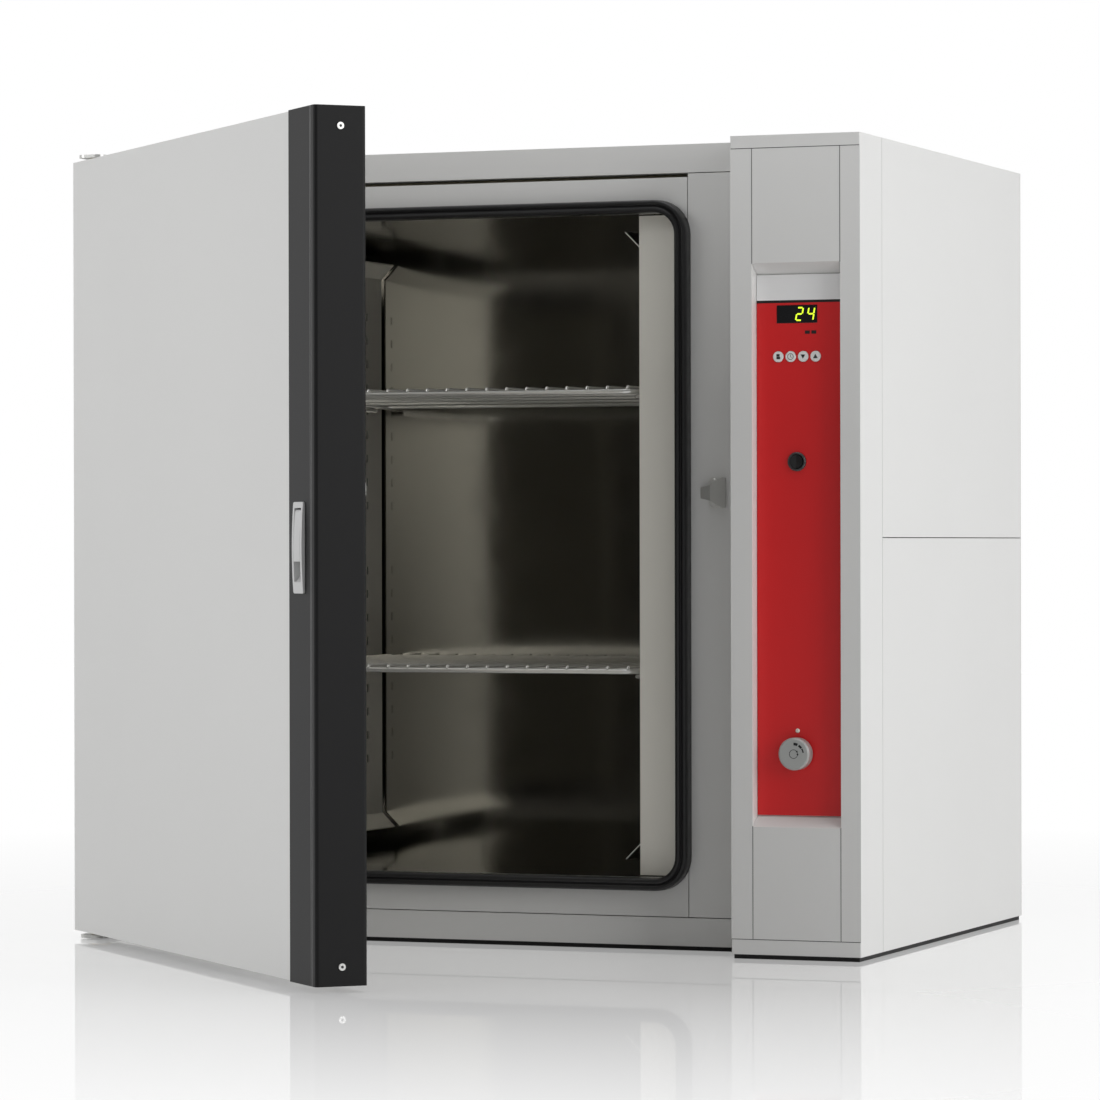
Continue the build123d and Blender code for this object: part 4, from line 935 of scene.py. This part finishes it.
# %% Make the floor's finish
gloss = Finish("glossy floor", Roughness=0.9)
gloss.shader.inputs["Base Color"].default_value = (0.9, 0.9, 0.9, 1)
white = (1, 1, 1, 1)
floor_y = gloss.axes()[1]
seen = gloss.flow(gloss.add("ShaderNodeLightPath"), "Is Camera Ray")
length = gloss.add("ShaderNodeVectorMath", {"operation": "LENGTH"}, {0: gloss.place})
clear = gloss.ramp(gloss.flow(length, "Value"), 0.75, 1.7, 0.55, 1.0)
lift = gloss.add("ShaderNodeEmission", None, {"Color": white, "Strength": 1.0})
mirror = gloss.add("ShaderNodeBsdfGlossy", None, {"Color": white, "Roughness": 0.02})
skin = gloss.add(
    "ShaderNodeMixShader", None,
    {0: clear * seen, 1: gloss.flow(gloss.shader), 2: gloss.flow(lift)},
)
fade = gloss.ramp(floor_y, -1.75, -0.55, 0.0, 0.55)
both = gloss.add(
    "ShaderNodeMixShader", None, {0: fade, 1: gloss.flow(skin), 2: gloss.flow(mirror)}
)
end = gloss.graph.nodes["Material Output"]
gloss.graph.links.new(both.outputs[0], end.inputs[0])
print("made", gloss.material.name)

# %% Lay the floor
floor_half = 9
mesh = bmesh.new()
corners = ((-1, -1), (1, -1), (1, 1), (-1, 1))
mesh.faces.new([mesh.verts.new((floor_half * x, floor_half * y, 0)) for x, y in corners])
floor = finished("studio_floor", mesh, gloss.material)
print("floor laid")

# %% Light the world
world = bpy.data.worlds.new("studio")
bpy.context.scene.world = world
world.use_nodes = True
sky = Tree(world.node_tree)
direction = sky.flow(sky.add("ShaderNodeTexCoord"), "Generated")
depthwise = sky.flow(sky.add("ShaderNodeSeparateXYZ", None, {0: direction}), 1)
rays = sky.add("ShaderNodeLightPath")
camera_ray = sky.flow(rays, "Is Camera Ray")
glossy_ray = sky.flow(rays, "Is Glossy Ray")
through_ray = sky.flow(rays, "Is Transmission Ray")
mirrored = sky.ramp(depthwise, -0.55, 0.25, 0.16, 1.0) * glossy_ray
ambient = sky.ramp(depthwise, -0.9, 0.1, 0.20, 0.60)
plain = (1 - camera_ray) * (1 - glossy_ray) * (1 - through_ray) * ambient
strength = camera_ray + through_ray + mirrored + plain
ground = sky.graph.nodes["Background"]
ground.inputs["Color"].default_value = white
sky.graph.links.new(strength.socket, ground.inputs["Strength"])
print("made the world", world.name)


# %% Hang the lamps
def softbox(name, spot, aim, size, power):
    """A square area lamp that looks at a point."""
    data = bpy.data.lights.new(name, "AREA")
    data.shape = "RECTANGLE"
    data.size, data.size_y = size, size
    data.energy = power
    lamp = bpy.data.objects.new(name, data)
    lamp.location = spot
    lamp.rotation_mode = "QUATERNION"
    lamp.rotation_quaternion = (Vector(aim) - Vector(spot)).to_track_quat("-Z", "Y")
    bpy.context.scene.collection.objects.link(lamp)


softbox("left softbox", (-2.6, -2.6, 1.5), (0, -0.3, 0.4), 1.8, 30)
softbox("right softbox", (3.2, -1.2, 1.3), (0.3, 0, 0.4), 1.8, 40)
softbox("top softbox", (0.2, -0.2, 3.0), (0, 0, 0.3), 2.4, 26)
bpy.context.scene.view_settings.view_transform = "Standard"
print("lamps", len(bpy.data.lights))
